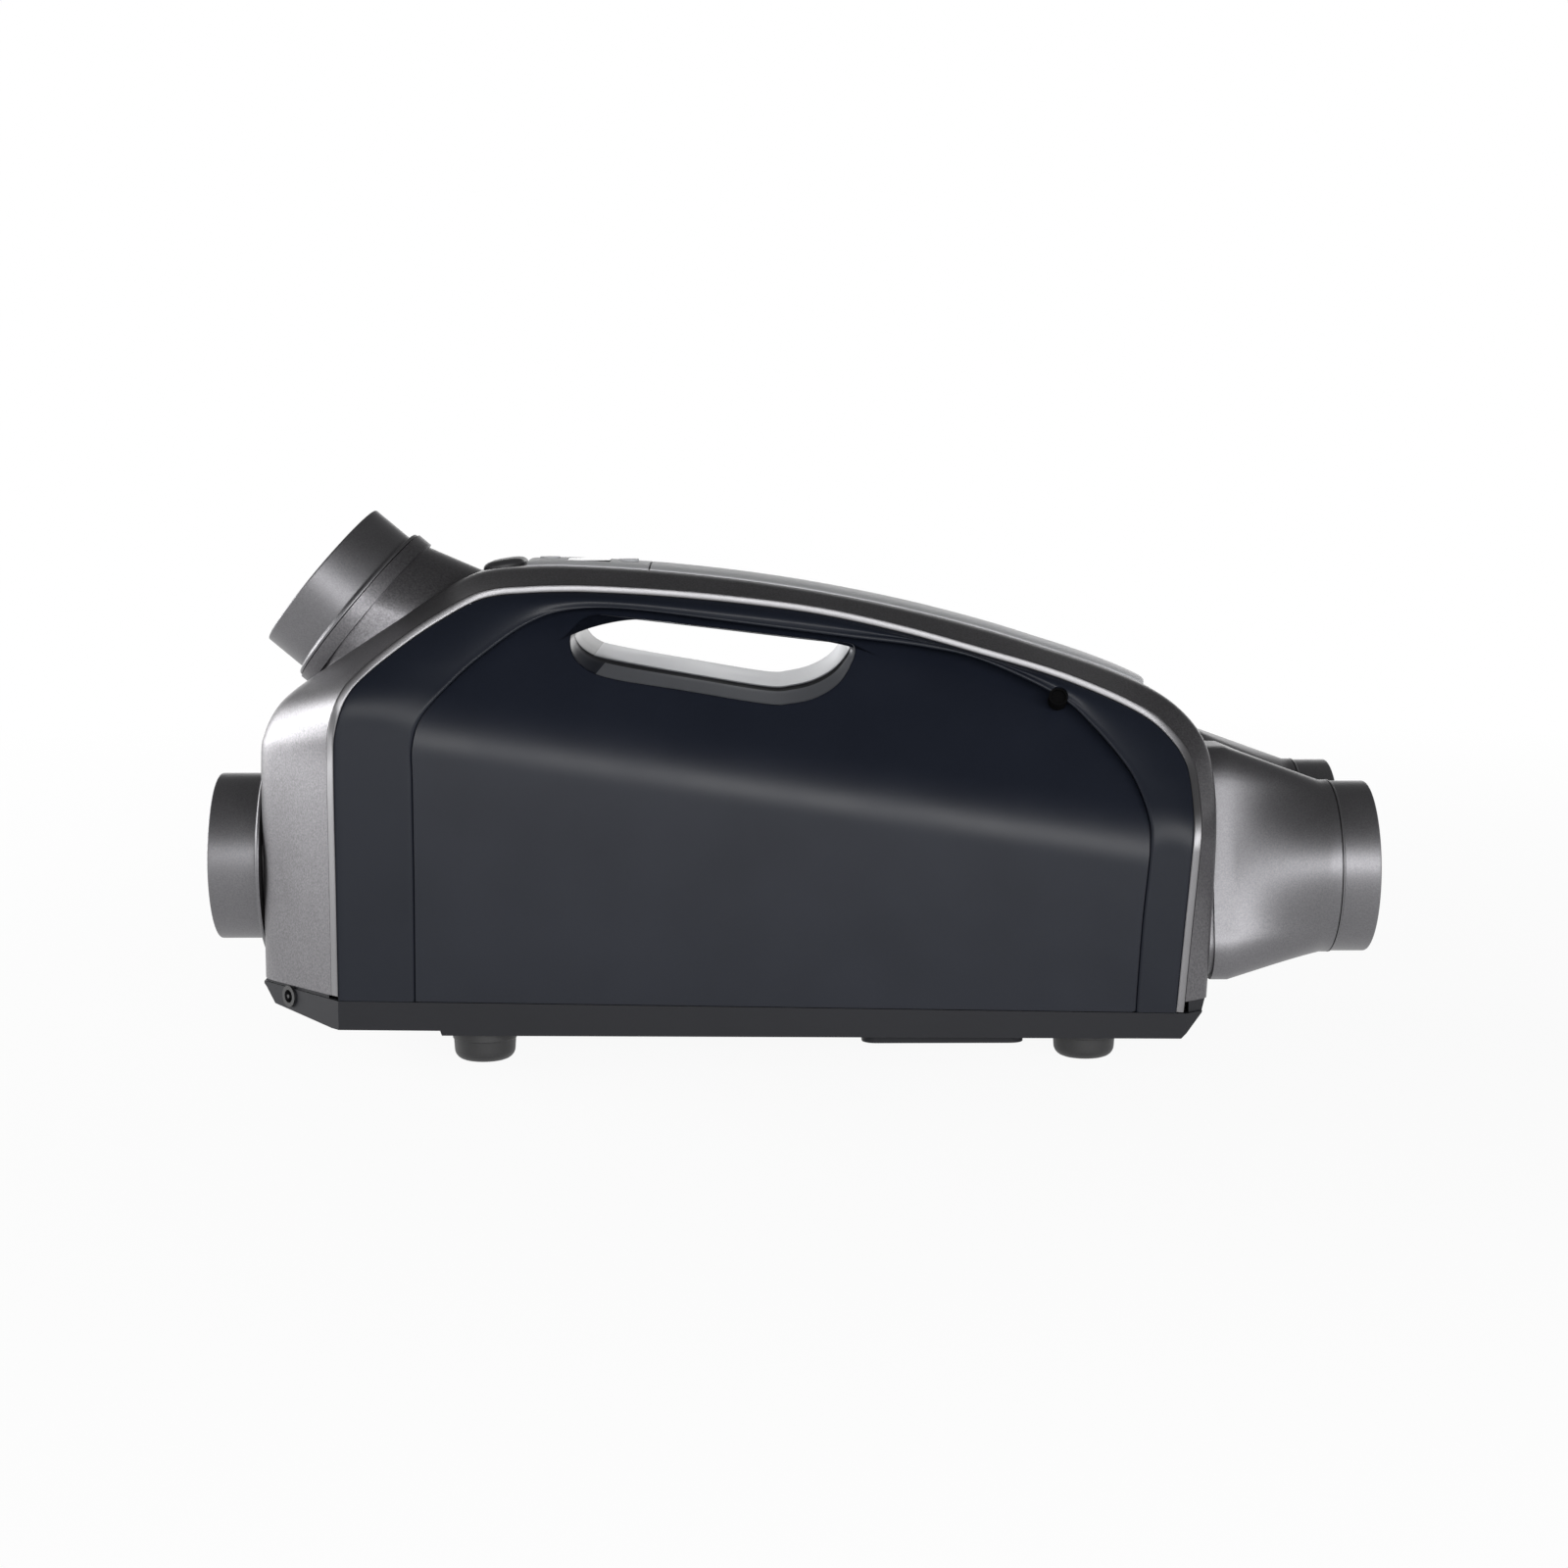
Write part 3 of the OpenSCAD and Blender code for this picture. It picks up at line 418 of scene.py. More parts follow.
def noise(tree, scale, detail=3, roughness=0.5):
    place = tree.nodes.new("ShaderNodeTexCoord")
    texture = tree.nodes.new("ShaderNodeTexNoise")
    texture.inputs["Scale"].default_value = scale
    texture.inputs["Detail"].default_value = detail
    texture.inputs["Roughness"].default_value = roughness
    tree.links.new(place.outputs["Object"], texture.inputs["Vector"])
    return texture


def spread(tree, source, low, high, start=0.3, end=0.7):
    """A map of a noise from start..end to low..high."""
    node = tree.nodes.new("ShaderNodeMapRange")
    node.inputs["From Min"].default_value = start
    node.inputs["From Max"].default_value = end
    node.inputs["To Min"].default_value = low
    node.inputs["To Max"].default_value = high
    tree.links.new(source, node.inputs["Value"])
    return node.outputs["Result"]


def surface(name, colour, metallic=0.0, roughness=0.4, speckle=0.12,
            speckle_scale=2500, uneven=0.06, uneven_scale=18,
            bump=0.02, bump_scale=2500, bump_depth=0.00005, specular=0.5):
    """Paint, metal or moulded plastic: a colour with fine speckle and slow
    unevenness, uneven roughness and a fine grain in its bump."""
    material, tree, shader = node_material(name)
    fine = noise(tree, speckle_scale)
    slow = noise(tree, uneven_scale, detail=2)
    speck = spread(tree, fine.outputs["Fac"], 1 - speckle, 1 + speckle)
    drift = spread(tree, slow.outputs["Fac"], 1 - uneven, 1 + uneven)
    both = tree.nodes.new("ShaderNodeMath")
    both.operation = "MULTIPLY"
    tree.links.new(speck, both.inputs[0])
    tree.links.new(drift, both.inputs[1])
    tint = tree.nodes.new("ShaderNodeVectorMath")
    tint.operation = "SCALE"
    tint.inputs[0].default_value = colour
    tree.links.new(both.outputs["Value"], tint.inputs["Scale"])
    tree.links.new(tint.outputs["Vector"], shader.inputs["Base Color"])
    rough = spread(tree, slow.outputs["Fac"], roughness * 0.93,
                   roughness * 1.07)
    tree.links.new(rough, shader.inputs["Roughness"])
    if bump:
        grain = noise(tree, bump_scale)
        relief = tree.nodes.new("ShaderNodeBump")
        relief.inputs["Strength"].default_value = bump
        relief.inputs["Distance"].default_value = bump_depth
        tree.links.new(grain.outputs["Fac"], relief.inputs["Height"])
        tree.links.new(relief.outputs["Normal"], shader.inputs["Normal"])
    shader.inputs["Metallic"].default_value = metallic
    shader.inputs["Specular IOR Level"].default_value = specular
    return material


PAINT = surface("metallic_paint", (0.130, 0.127, 0.134), metallic=0.85,
                roughness=0.40, speckle=0.26, speckle_scale=900, bump=0.25)
DUCT = surface("duct_plastic", (0.160, 0.158, 0.166), metallic=0.85,
               roughness=0.42, speckle=0.14, speckle_scale=1200, bump=0.2)
SILVER = surface("silver_trim", (0.17, 0.168, 0.174), metallic=0.95,
                 roughness=0.36, speckle=0.06)
NAVY = surface("navy_frame", (0.0075, 0.0095, 0.0155), roughness=0.38,
               speckle=0.08, bump=0.12, specular=0.2)
PANEL = surface("navy_panel", (0.0075, 0.0095, 0.0160), roughness=0.36,
                speckle=0.08, bump=0.12, specular=0.24)
SATIN = surface("satin_grey", (0.30, 0.31, 0.335), metallic=0.7,
                roughness=0.38, speckle=0.08, bump=0.1)
BLACK = surface("black_plastic", (0.008, 0.008, 0.009), roughness=0.45,
                speckle=0.1, bump=0.2)
BASE = surface("base_plastic", (0.012, 0.0125, 0.0155), roughness=0.46,
               speckle=0.1, bump=0.25, specular=0.2)
HOLE = surface("plug_black", (0.002, 0.002, 0.0022), roughness=0.7,
               speckle=0.1, bump=0.1, specular=0.05)
CAP = surface("power_cap", (0.030, 0.030, 0.032), roughness=0.42,
              speckle=0.1, bump=0.2)
RUBBER = surface("rubber", (0.013, 0.013, 0.014), roughness=0.5,
                 speckle=0.15, bump=0.3)
GLOSS = surface("strip_gloss", (0.46, 0.465, 0.48), roughness=0.42,
                speckle=0.03, bump=0, specular=0.12)
DISPLAY = surface("display_glass", (0.006, 0.007, 0.009), roughness=0.22,
                  speckle=0.02, bump=0, specular=0.12)
BUTTON = surface("button_grey", (0.42, 0.425, 0.44), roughness=0.42,
                 speckle=0.05, specular=0.12)
STEEL = surface("steel", (0.55, 0.55, 0.56), metallic=1.0, roughness=0.3,
                speckle=0.05, bump=0.15)
ALUMINIUM = surface("aluminium", (0.6, 0.6, 0.61), metallic=1.0,
                    roughness=0.38, speckle=0.08, bump=0.2)
FOAM = surface("filter_foam", (0.03, 0.03, 0.032), roughness=0.9,
               speckle=0.5, speckle_scale=900, bump=0.8, bump_scale=700,
               bump_depth=0.001)
BOARD = surface("circuit_board", (0.012, 0.07, 0.035), roughness=0.4,
                speckle=0.1, speckle_scale=600, bump=0.1)
WIRE = surface("wire_cover", (0.015, 0.015, 0.016), roughness=0.5,
               speckle=0.08)


# ---- arch shell ---------------------------------------------------------
STATIONS = 5
EDGE_ROUND = 6.4
RIM_LIP = 1.4


def arch(t):
    return along(ARCH, t)


def inward(t):
    """Direction into the machine, square to the flat at t."""
    a, b = arch(max(t - 0.1, 0)), arch(min(t + 0.1, len(ARCH) - 1))
    run = math.hypot(b[0] - a[0], b[1] - a[1])
    return ((b[1] - a[1]) / run, (a[0] - b[0]) / run)


def half_skin(t, depth):
    """Half of a cross-section of the shell from the rim to the flat."""
    row = arch(t)
    way = inward(t)
    rim = Vector((row[3], side_y(row[3], row[4])
                  - corner_cut(row[3], row[4]), row[4]))
    edge = Vector((row[0], row[2], row[1]))
    flat = Vector((row[0], row[2] - EDGE_ROUND, row[1]))
    push = Vector((way[0], 0, way[1])) * depth
    near = edge + (rim - edge) * 0.2
    pts = []
    if depth:
        pts.append(rim - Vector((0, RIM_LIP, 0)))
        pts += [rim.lerp(near, u) + push for u in (0.1, 0.4, 0.7)]
    else:
        pts += [rim.lerp(near, u) for u in (0, 0.02, 0.1, 0.4, 0.7)]
    for k in range(7):
        u = k / 6
        pts.append(near * (1 - u) ** 2 + edge * (2 * u * (1 - u))
                   + flat * u * u + push)
    pts += [Vector((flat.x, flat.y * f, flat.z)) + push
            for f in (0.66, 0.33)]
    return [tuple(p) for p in pts]


def shell_ring(t):
    outer, inner = half_skin(t, 0), half_skin(t, SHELL_T)

    def far(pts):
        return [(p[0], -p[1], p[2]) for p in pts]
    return (outer + far(outer[::-1]) + far(inner) + inner[::-1])


def turned_about_y(point, lift):
    """Place with its Z axis leaning back: lift degrees above level."""
    return (Matrix.Translation(point)
            @ Matrix.Rotation(math.radians(lift - 90), 4, "Y"))


# Places of the ducts and of the power button, each with Z out of the shell.
UPPER = turned_about_y((-248.7, 0, 251.8), 40)
LOWER = turned_about_y((-REAR_X, 0, 105), 0)
SLOPE = turned_about_y((-235, 0, 244.8), 90 - 33.5)
POWER = turned_about_y((-166.5, 0, 280.4), 90 - 9)
NECK_BORE = 47
LOWER_BORE = 52.2
POWER_LEN, POWER_WID, POWER_GAP = 25, 46, 0.8
BUTTON_X, BUTTON_HOLE = (-140, -93), 6.4
WINDOW_X, WINDOW_LEN, WINDOW_WID = -116.5, 26.4, 40.4
OUTLET_Y, OUTLET_Z = 55, 106
# Corners of an outlet's foot on the front face, as (y, z).
OUTLET_FOOT = [(28, 64), (79, 64), (28, 156), (56, 156)]
FOOT_ROUND = 21
SHELL_LAP = 2.6
FRONT = Matrix(((0, 0, 1), (1, 0, 0), (0, 1, 0))).to_4x4()


def convex(points):
    """Convex hull of flat points, in order."""
    pts = sorted(set(points))

    def half(seq):
        out = []
        for p in seq:
            while len(out) > 1 and (
                    (out[-1][0] - out[-2][0]) * (p[1] - out[-2][1])
                    - (out[-1][1] - out[-2][1]) * (p[0] - out[-2][0])) <= 0:
                out.pop()
            out.append(p)
        return out[:-1]
    return half(pts) + half(pts[::-1])


def foot_outline(grow, steps=24):
    """Outline of an outlet's foot on the front face, as (y, z)."""
    pts = []
    for y, z in OUTLET_FOOT:
        for k in range(steps):
            a = 2 * math.pi * k / steps
            pts.append((y + (FOOT_ROUND + grow) * math.cos(a),
                        z + (FOOT_ROUND + grow) * math.sin(a)))
    return convex(pts)


def ray_to(outline, centre, angle):
    """Where a ray from centre leaves the outline."""
    way = (math.cos(angle), math.sin(angle))
    best = 0
    for a, b in zip(outline, outline[1:] + outline[:1]):
        run = (b[0] - a[0], b[1] - a[1])
        start = (a[0] - centre[0], a[1] - centre[1])
        det = way[0] * run[1] - way[1] * run[0]
        if abs(det) < 1e-9:
            continue
        u = (start[0] * run[1] - start[1] * run[0]) / det
        v = (start[0] * way[1] - start[1] * way[0]) / det
        if -1e-9 <= v <= 1 + 1e-9 and u > best:
            best = u
    return (centre[0] + way[0] * best, centre[1] + way[1] * best)


def stadium(length, width, steps=16):
    """Outline with round ends, length along X and width along Y."""
    r = min(length, width) / 2
    pts = []
    for quarter, (sx, sy) in enumerate(((1, 1), (-1, 1), (-1, -1), (1, -1))):
        cx, cy = sx * (length / 2 - r), sy * (width / 2 - r)
        for k in range(steps):
            a = math.pi / 2 * (quarter + k / steps)
            pts.append((cx + r * math.cos(a), cy + r * math.sin(a)))
    return pts


def flat_cutter(outline, place, low, high):
    return cutter([placed([(x, y, h) for x, y in outline], place)
                   for h in (low, high)])


def button_holes(turns):
    return [round_cutter(Matrix.Translation((x, 0, 270)), BUTTON_HOLE, 0, 20,
                         turns) for x in BUTTON_X]


shell_rings = [shell_ring(k / STATIONS)
               for k in range((len(ARCH) - 1) * STATIONS + 1)]
shell = loft("shell", shell_rings, PAINT, replaced=["main_shell"],
             slot="shell", sharp=28)
shell_cutters = [
    round_cutter(UPPER, NECK_BORE + 0.4, -60, 20),
    round_cutter(LOWER, LOWER_BORE, -8, 8),
    flat_cutter(stadium(POWER_LEN + POWER_GAP, POWER_WID + POWER_GAP), POWER,
                -8, 8),
] + button_holes(32)
for side in (-1, 1):
    shell_cutters.append(cutter([
        [(x, side * y, z) for y, z in foot_outline(-SHELL_LAP)]
        for x in (228, 251)]))
cut(shell, shell_cutters, sharp=28)

# ---- trims, side frames and panels --------------------------------------
RUN = 260
TRIM_FOOT_REAR_Z = 41.2
TRIM_FOOT_FRONT = (226.4, 30.8)
TRIM_SKIRT = 1.2


def on_side(base, way, offset, depth):
    """A point offset mm in from a curve and depth mm under the side."""
    x, z = base[0] + way[0] * offset, base[1] + way[1] * offset
    return (x, side_y(x, z) - depth, z)


def ways(pts):
    """Unit vectors to the right of travel at each point of a curve."""
    return [(q[0] - p[0], q[1] - p[1]) for p, q in zip(pts, moved(pts, 1))]


rim_line = evened(RIM + [TRIM_FOOT_FRONT], 2 * RUN)
rim_line[0] = (rim_line[0][0], TRIM_FOOT_REAR_Z)
# The trim's rounded face: offset in from the rim and rise.
TRIM_FACE = [(0.15, -0.55), (0.35, -0.2), (0.8, -0.05), (1.6, 0.05),
             (2.3, 0.1), (3.0, 0.12), (3.7, 0.1), (4.1, 0.0),
             (4.4, -0.2), (4.5, -0.5)]


def trim_ring(base, way):
    """Cross-section of the trim, whose face stands upright all the way."""
    top = on_side(base, way, 0.15, 0)
    low = on_side(base, way, TRIM_W, 0)
    face = min((top[1] + low[1]) / 2 + 0.15, HALF_W + 0.05)
    back = corner_cut(*base)
    ring = [(top[0], top[1] - TRIM_SKIRT - back, top[2])]
    for offset, rise in TRIM_FACE:
        x, _, z = on_side(base, way, offset, 0)
        if offset < 2.5:
            rise *= 1 - 0.9 * back / CORNER_CUT
        ring.append((x, face + rise - back * (1 - offset / TRIM_W), z))
    return ring + [(low[0], min(low[1], face) - TRIM_SKIRT, low[2])]


trim_rings = [trim_ring(p, w) for p, w in zip(rim_line, ways(rim_line))]
both_sides("trim_line", trim_rings, SILVER, ["trim"], slot="trim", sharp=40)

frame_outer = moved(evened(RIM, 400), TRIM_W + 0.1)
frame_outer = ([over_sill(frame_outer[0])] + frame_outer
               + [over_sill(frame_outer[-1])])
crease = sampled(CREASE, 6)
crease[0], crease[-1] = over_sill(crease[0]), over_sill(crease[-1])
outer_line, inner_line = evened(frame_outer, RUN), evened(crease, RUN)

FRAME_SET = 0.4
ROLL_W, ROLL_D = 2.5, 2.0
CROWN, CROWN_FADE = 2.2, 40
LIP_W, LIP_DEPTH, LIP_T = 1.5, 2.8, 0.8


def frame_ring(outer, inner):
    """Cross-section of the side frame from the trim to the crease, where
    its edge rolls in to meet the panel."""
    run = math.dist(outer, inner)
    way = ((inner[0] - outer[0]) / run, (inner[1] - outer[1]) / run)

    def at(offset, depth):
        return on_side(outer, way, offset, depth)
    ring = [at(0, 3.0), at(0, 0.8), at(0.35, 0.5)]
    flat = run - 0.8 - ROLL_W
    for k in range(15):
        u = k / 14
        x, y, z = at(0.8 + flat * u, FRAME_SET)
        leaning = min(max((q_at(x, z) - BEND_H) / CROWN_FADE, 0), 1)
        ring.append((x, y + CROWN * leaning * 4 * u * (1 - u), z))
    wall = panel_y(*inner) - LIP_DEPTH
    drop = min(max(side_y(*inner) - 0.6 - wall, 0.7), ROLL_D)
    for k in range(1, 8):
        a = math.pi / 2 * k / 7
        ring.append(at(run - ROLL_W * (1 - math.sin(a)),
                       FRAME_SET + drop * (1 - math.cos(a))))
    ring.append((inner[0], wall, inner[1]))
    x, _, z = at(run + LIP_W, 0)
    ring += [(x, wall, z), (x, wall - LIP_T, z)]
    x, y, z = at(run - 2, 3.0)
    ring.append((x, min(y, wall - LIP_T), z))
    ring.append(at(run - 2.1, 3.4))
    return ring


frame_rings = [frame_ring(a, b) for a, b in zip(outer_line, inner_line)]
both_sides("side_bezel", frame_rings, NAVY, ["side_frame"],
           slot="frame_plastic", sharp=45)

PANEL_GAP = 0.3
panel_edge = moved(crease, PANEL_GAP)
panel_edge[0] = over_sill(panel_edge[0])
panel_edge[-1] = over_sill(panel_edge[-1])
sill_run = [mix(panel_edge[-1], panel_edge[0], k / 60)
            for k in range(1, 60)]
PANEL_RUN = 420
bevel_line = looped(BEVEL, 8)
panel_hole = evened(moved(bevel_line, -PANEL_GAP, closed=True), PANEL_RUN,
                    closed=True)
panel_outer = evened(panel_edge + sill_run, PANEL_RUN, closed=True)


SLOT_CENTRE = (-40, 228)


def best_turn(outer, inner):
    """How far to turn the inner loop so that its points face the outer's."""
    n = len(outer)

    def heading(p):
        return math.atan2(p[1] - SLOT_CENTRE[1], p[0] - SLOT_CENTRE[0])
    best = None
    for shift in range(0, n, 4):
        miss = 0
        for k in range(0, n, 12):
            d = (heading(outer[k])
                 - heading(inner[(k + shift) % n]) + math.pi)
            miss += abs(d % (2 * math.pi) - math.pi)
        if best is None or miss < best[0]:
            best = (miss, shift)
    return best[1]


turn = best_turn(panel_outer, panel_hole)
panel_hole = panel_hole[turn:] + panel_hole[:turn]
PANEL_STEPS = 44
panel_rings = []
for a, b in zip(panel_outer, panel_hole):
    front = []
    for k in range(PANEL_STEPS + 1):
        x, z = mix(a, b, k / PANEL_STEPS)
        front.append((x, panel_y(x, z), z))
    panel_rings.append(front + [(x, y - PANEL_T, z)
                                for x, y, z in front[::-1][::4]])
both_sides("side_skin", panel_rings, PANEL, ["side_panel"], closed=True,
           slot="panel_plastic", sharp=50)

for side, sign in (("right", -1), ("left", 1)):
    place = (Matrix.Translation((PLUG[0], sign * side_y(*PLUG), PLUG[1]))
             @ Matrix.Rotation(sign * (BEND_LEAN - math.pi / 2), 4, "X"))
    for name in ("side_bezel", "side_skin"):
        cut(bpy.data.objects[f"{name}_{side}"],
            [round_cutter(place, PLUG_R + 0.1, -9, 6, 48)], sharp=45)

# ---- handle slot --------------------------------------------------------
SLOT_RUN = 240
LINER_SET = 4
slot_mouth = evened(looped(SLOT, 8), SLOT_RUN, closed=True)
bevel_edge = evened(bevel_line, SLOT_RUN, closed=True)
turn = best_turn(bevel_edge, slot_mouth)
slot_mouth = slot_mouth[turn:] + slot_mouth[:turn]
slot_out = moved(slot_mouth, -2, closed=True)


# The bevel's face from its outer edge to the mouth: share of the way and
# rise, with the groove between 0.74 and 0.9.
BEVEL_FACE = [(0.03, 0.0), (0.10, 0.0), (0.3, 0.1), (0.55, 0.15),
              (0.72, 0.1), (0.74, -0.8), (0.9, -0.8), (0.92, 0.1),
              (0.97, 0.0), (1.0, -0.5)]


def liner_side(b, s, sign):
    """The liner's cross-section from behind the bevel lip to the mouth."""
    w = panel_y(*b) + 0.6
    pts = [(b[0], w - 2.2, b[1]), (b[0], w - 0.35, b[1])]
    for u, rise in BEVEL_FACE:
        x, z = mix(b, s, u)
        pts.append((x, w + (SLOT_Y - w) * u + rise, z))
    for drop in (1.0, 2.5, 6, 14):
        pts.append((s[0], SLOT_Y - drop, s[1]))
    return [(x, sign * y, z) for x, y, z in pts]


liner_rings = []
for b, s, o in zip(bevel_edge, slot_mouth, slot_out):
    near, far = liner_side(b, s, -1), liner_side(b, s, 1)
    back = [(b[0], panel_y(*b) - 1.6, b[1]),
            (o[0], SLOT_Y - LINER_SET, o[1])]
    liner_rings.append(near + far[::-1] + back
                       + [(x, -y, z) for x, y, z in back[::-1]])
GROOVE = {6, 7, 8}
# Behind these x values, the bevel and the wall take the dark panel colour as
# painted shade of the slot's rear scoop.
SCOOP_SHADE_X, WALL_SHADE_X = -108, -110


def liner_band(ring, k):
    """The groove is black, and the slot's rear end takes the dark panel colour
    as painted shade of its scoop.
    """
    side = len(near)
    strip_no = k if k < side else 2 * side - 2 - k
    if strip_no in GROOVE:
        return 1
    on_wall = strip_no > max(GROOVE)
    if on_wall and slot_mouth[ring][0] < WALL_SHADE_X:
        return 2
    if not on_wall and bevel_edge[ring][0] < SCOOP_SHADE_X:
        return 2
    return 0


loft("handle_sleeve", liner_rings, SATIN, closed=True,
     replaced=["handle_liner"], slot="liner", others=[BLACK, PANEL],
     band_of=liner_band, sharp=40)

# ---- top strip ----------------------------------------------------------
STRIP_W = 38
STRIP_H = 3.2
SEAM = 13.03
TIP_RUN = 1.2
# Half of the strip's section: share of its half width and height.
STRIP_EDGE = [(1.0, 0.0), (1.0, 0.5), (0.99, 0.8), (0.96, 1.15),
              (0.9, 1.6), (0.8, 2.2), (0.6, 2.75), (0.4, 3.0),
              (0.2, 3.15)]


def strip_ring(t, width):
    row, way = arch(t), inward(t)
    half = [(w * width, h) for w, h in STRIP_EDGE] + [(0, STRIP_H)]
    full = half + [(-w, h) for w, h in half[-2::-1]]
    return [(row[0] - way[0] * h, w, row[1] - way[1] * h) for w, h in full]


def strip(name, start, end, steps, node, tip):
    """A length of the strip between two arch stations, round at its tip."""
    rings = []
    for k in range(steps + 1):
        t = start + (end - start) * k / steps
        left = (end - t) / TIP_RUN
        narrow = 1
        if tip and left < 1:
            narrow = 0.72 + 0.28 * math.sqrt(max(1 - (1 - left) ** 2, 0))
        rings.append(strip_ring(t, STRIP_W * narrow))
    return loft(name, rings, GLOSS, replaced=[node], slot="strip_gloss",
                sharp=30)


strip("strip_front", SEAM + 0.01, 20.25, 160, "top_strip", True)
panel_strip = strip("strip_rear", 10.95, SEAM - 0.01, 40, "control_panel",
                    False)
window = [(x * WINDOW_LEN / 2, y * WINDOW_WID / 2)
          for x, y in ((1, 1), (-1, 1), (-1, -1), (1, -1))]
cut(panel_strip, button_holes(48) + [
    flat_cutter(window, Matrix.Translation((WINDOW_X, 0, 283)), 0, 5)])

# ---- power button -------------------------------------------------------
# Each ring's height over the deck and its distance in from the edge.
DOME = [(-4, 0), (0.6, 0), (1.6, 0.5), (2.5, 1.5), (3.2, 3.0), (3.7, 5.2),
        (3.95, 8.0), (4.0, 10.5)]
dome_rings = [placed([(x, y, h) for x, y in
                      stadium(POWER_LEN - 2 * inset,
                              POWER_WID - 2 * inset)], POWER)
              for h, inset in DOME]
loft("power_dome", dome_rings, CAP, "power_button",
     replaced=["power_button"], slot="button_plastic", sharp=60)

# ---- intake ducts -------------------------------------------------------
COLLAR_R, COLLAR_IN = 50, 47.5


def collar_profile(length, flange_r, flange_z, flange_h):
    """Section of an intake collar with its flange and its inner spigot."""
    foot = flange_z + flange_h
    return rounded_profile([
        (COLLAR_IN, length, 0.9), (COLLAR_R, length, 1.2),
        (COLLAR_R, foot, 1.0), (COLLAR_R + 1, foot - 0.9, 0.8),
        (flange_r - 0.8, flange_z + 2.2, 1.0), (flange_r, flange_z + 1.2, 0.5),
        (flange_r, flange_z, 0.3), (COLLAR_IN - 1.5, flange_z, 0),
        (COLLAR_IN - 1.5, -4, 0.3), (COLLAR_IN - 3.5, -4, 0.3),
        (COLLAR_IN - 3.5, flange_z + 3, 0.5), (COLLAR_IN, flange_z + 5, 0.5)])


revolve("lower_duct", collar_profile(34, 62, 1.5, 4.5), LOWER, DUCT,
        "lower_intake", replaced=["lower_collar"], slot="duct_plastic",
        sharp=40)
revolve("upper_duct", collar_profile(36, 54, 7, 3), UPPER, DUCT,
        "upper_intake", replaced=["upper_collar"], slot="duct_plastic",
        sharp=40)

NECK_TOP, NECK_R = -1.9, 53
NECK_LEN, NECK_WID, NECK_SUNK = 127, 104, 3.5
NECK_WALL = 4
TURNS = 128


def neck_ring(u, shrink):
    """Ring u of the neck: 0 on the slope, 1 under the socket ring."""
    foot = stadium(NECK_LEN - 2 * shrink, NECK_WID - 2 * shrink, TURNS // 4)
    ring = []
    for k, (x, y) in enumerate(foot):
        a = math.atan2(y, x)
        low = SLOPE @ Vector((x, y, -NECK_SUNK))
        top = UPPER @ Vector(((NECK_R - shrink) * math.cos(a),
                              (NECK_R - shrink) * math.sin(a), NECK_TOP))
        ease = u + 0.35 * math.sin(math.pi * u) * (1 - u)
        side = low.lerp(top, ease)
        side.x = low.x + (top.x - low.x) * ease
        ring.append(tuple(low.lerp(top, u) * 0.4 + side * 0.6))
    return ring


outer = [neck_ring(k / 10, 0) for k in range(11)]
inner = [neck_ring(k / 4, NECK_WALL) for k in range(4, -1, -1)]
neck = loft("neck", outer + inner, PAINT, closed=True,
            replaced=["upper_neck"], slot="duct_plastic", sharp=30)
cut(neck, [round_cutter(UPPER, NECK_BORE, -60, 20)], sharp=30)

# ---- outlet ducts -------------------------------------------------------
FUNNEL_START, FUNNEL_END, COLLAR_X, OUTLET_END = 256, 313, 318, 340
FUNNEL_R = COLLAR_R + 0.6
FUNNEL_T, ROOT_T = 2.8, 5.6
FRONT_X, ROOT_X = 246, 232


def funnel_ring(x, shrink, sign):
    """The funnel's outline at x, from its flat-sided foot to a circle."""
    outline = foot_outline(-shrink)
    u = min(max((x - FUNNEL_START) / (FUNNEL_END - FUNNEL_START), 0), 1)
    ring = []
    for k in range(TURNS):
        a = 2 * math.pi * k / TURNS
        foot = ray_to(outline, (OUTLET_Y, OUTLET_Z), a)
        r = FUNNEL_R - shrink
        round_end = (OUTLET_Y + r * math.cos(a), OUTLET_Z + r * math.sin(a))
        y, z = mix(foot, round_end, u)
        ring.append((x, sign * y, z))
    return ring


def funnel_path():
    xs = [246.2, 249, 252]
    xs += [FUNNEL_START + (FUNNEL_END - FUNNEL_START) * k / 16
           for k in range(17)]
    return xs + [315, COLLAR_X - 0.6]


outlet_profile = rounded_profile([
    (COLLAR_IN, 0, 0), (COLLAR_R + 0.7, 0, 0.3), (COLLAR_R + 0.7, 0.8, 0.3),
    (COLLAR_R, 1.3, 0.2), (COLLAR_R, OUTLET_END - COLLAR_X, 1.6),
    (COLLAR_IN, OUTLET_END - COLLAR_X, 0.8)])
for side, sign in (("right", -1), ("left", 1)):
    outer = [funnel_ring(x, 0, sign) for x in funnel_path()]
    inner = [funnel_ring(x, FUNNEL_T, sign) for x in funnel_path()[::-2]]
    root = [funnel_ring(ROOT_X, ROOT_T, sign), funnel_ring(ROOT_X, 3, sign),
            funnel_ring(FRONT_X, 3, sign)]
    loft(f"funnel_{side}", outer + inner + root, DUCT, closed=True,
         replaced=[f"outlet_{side}"], slot="duct_plastic", sharp=35)
    place = Matrix.Translation((COLLAR_X, sign * OUTLET_Y, OUTLET_Z)) @ FRONT
    revolve(f"outlet_ring_{side}", outlet_profile, place, DUCT,
            replaced=[f"outlet_collar_{side}"], slot="duct_plastic",
            sharp=40)

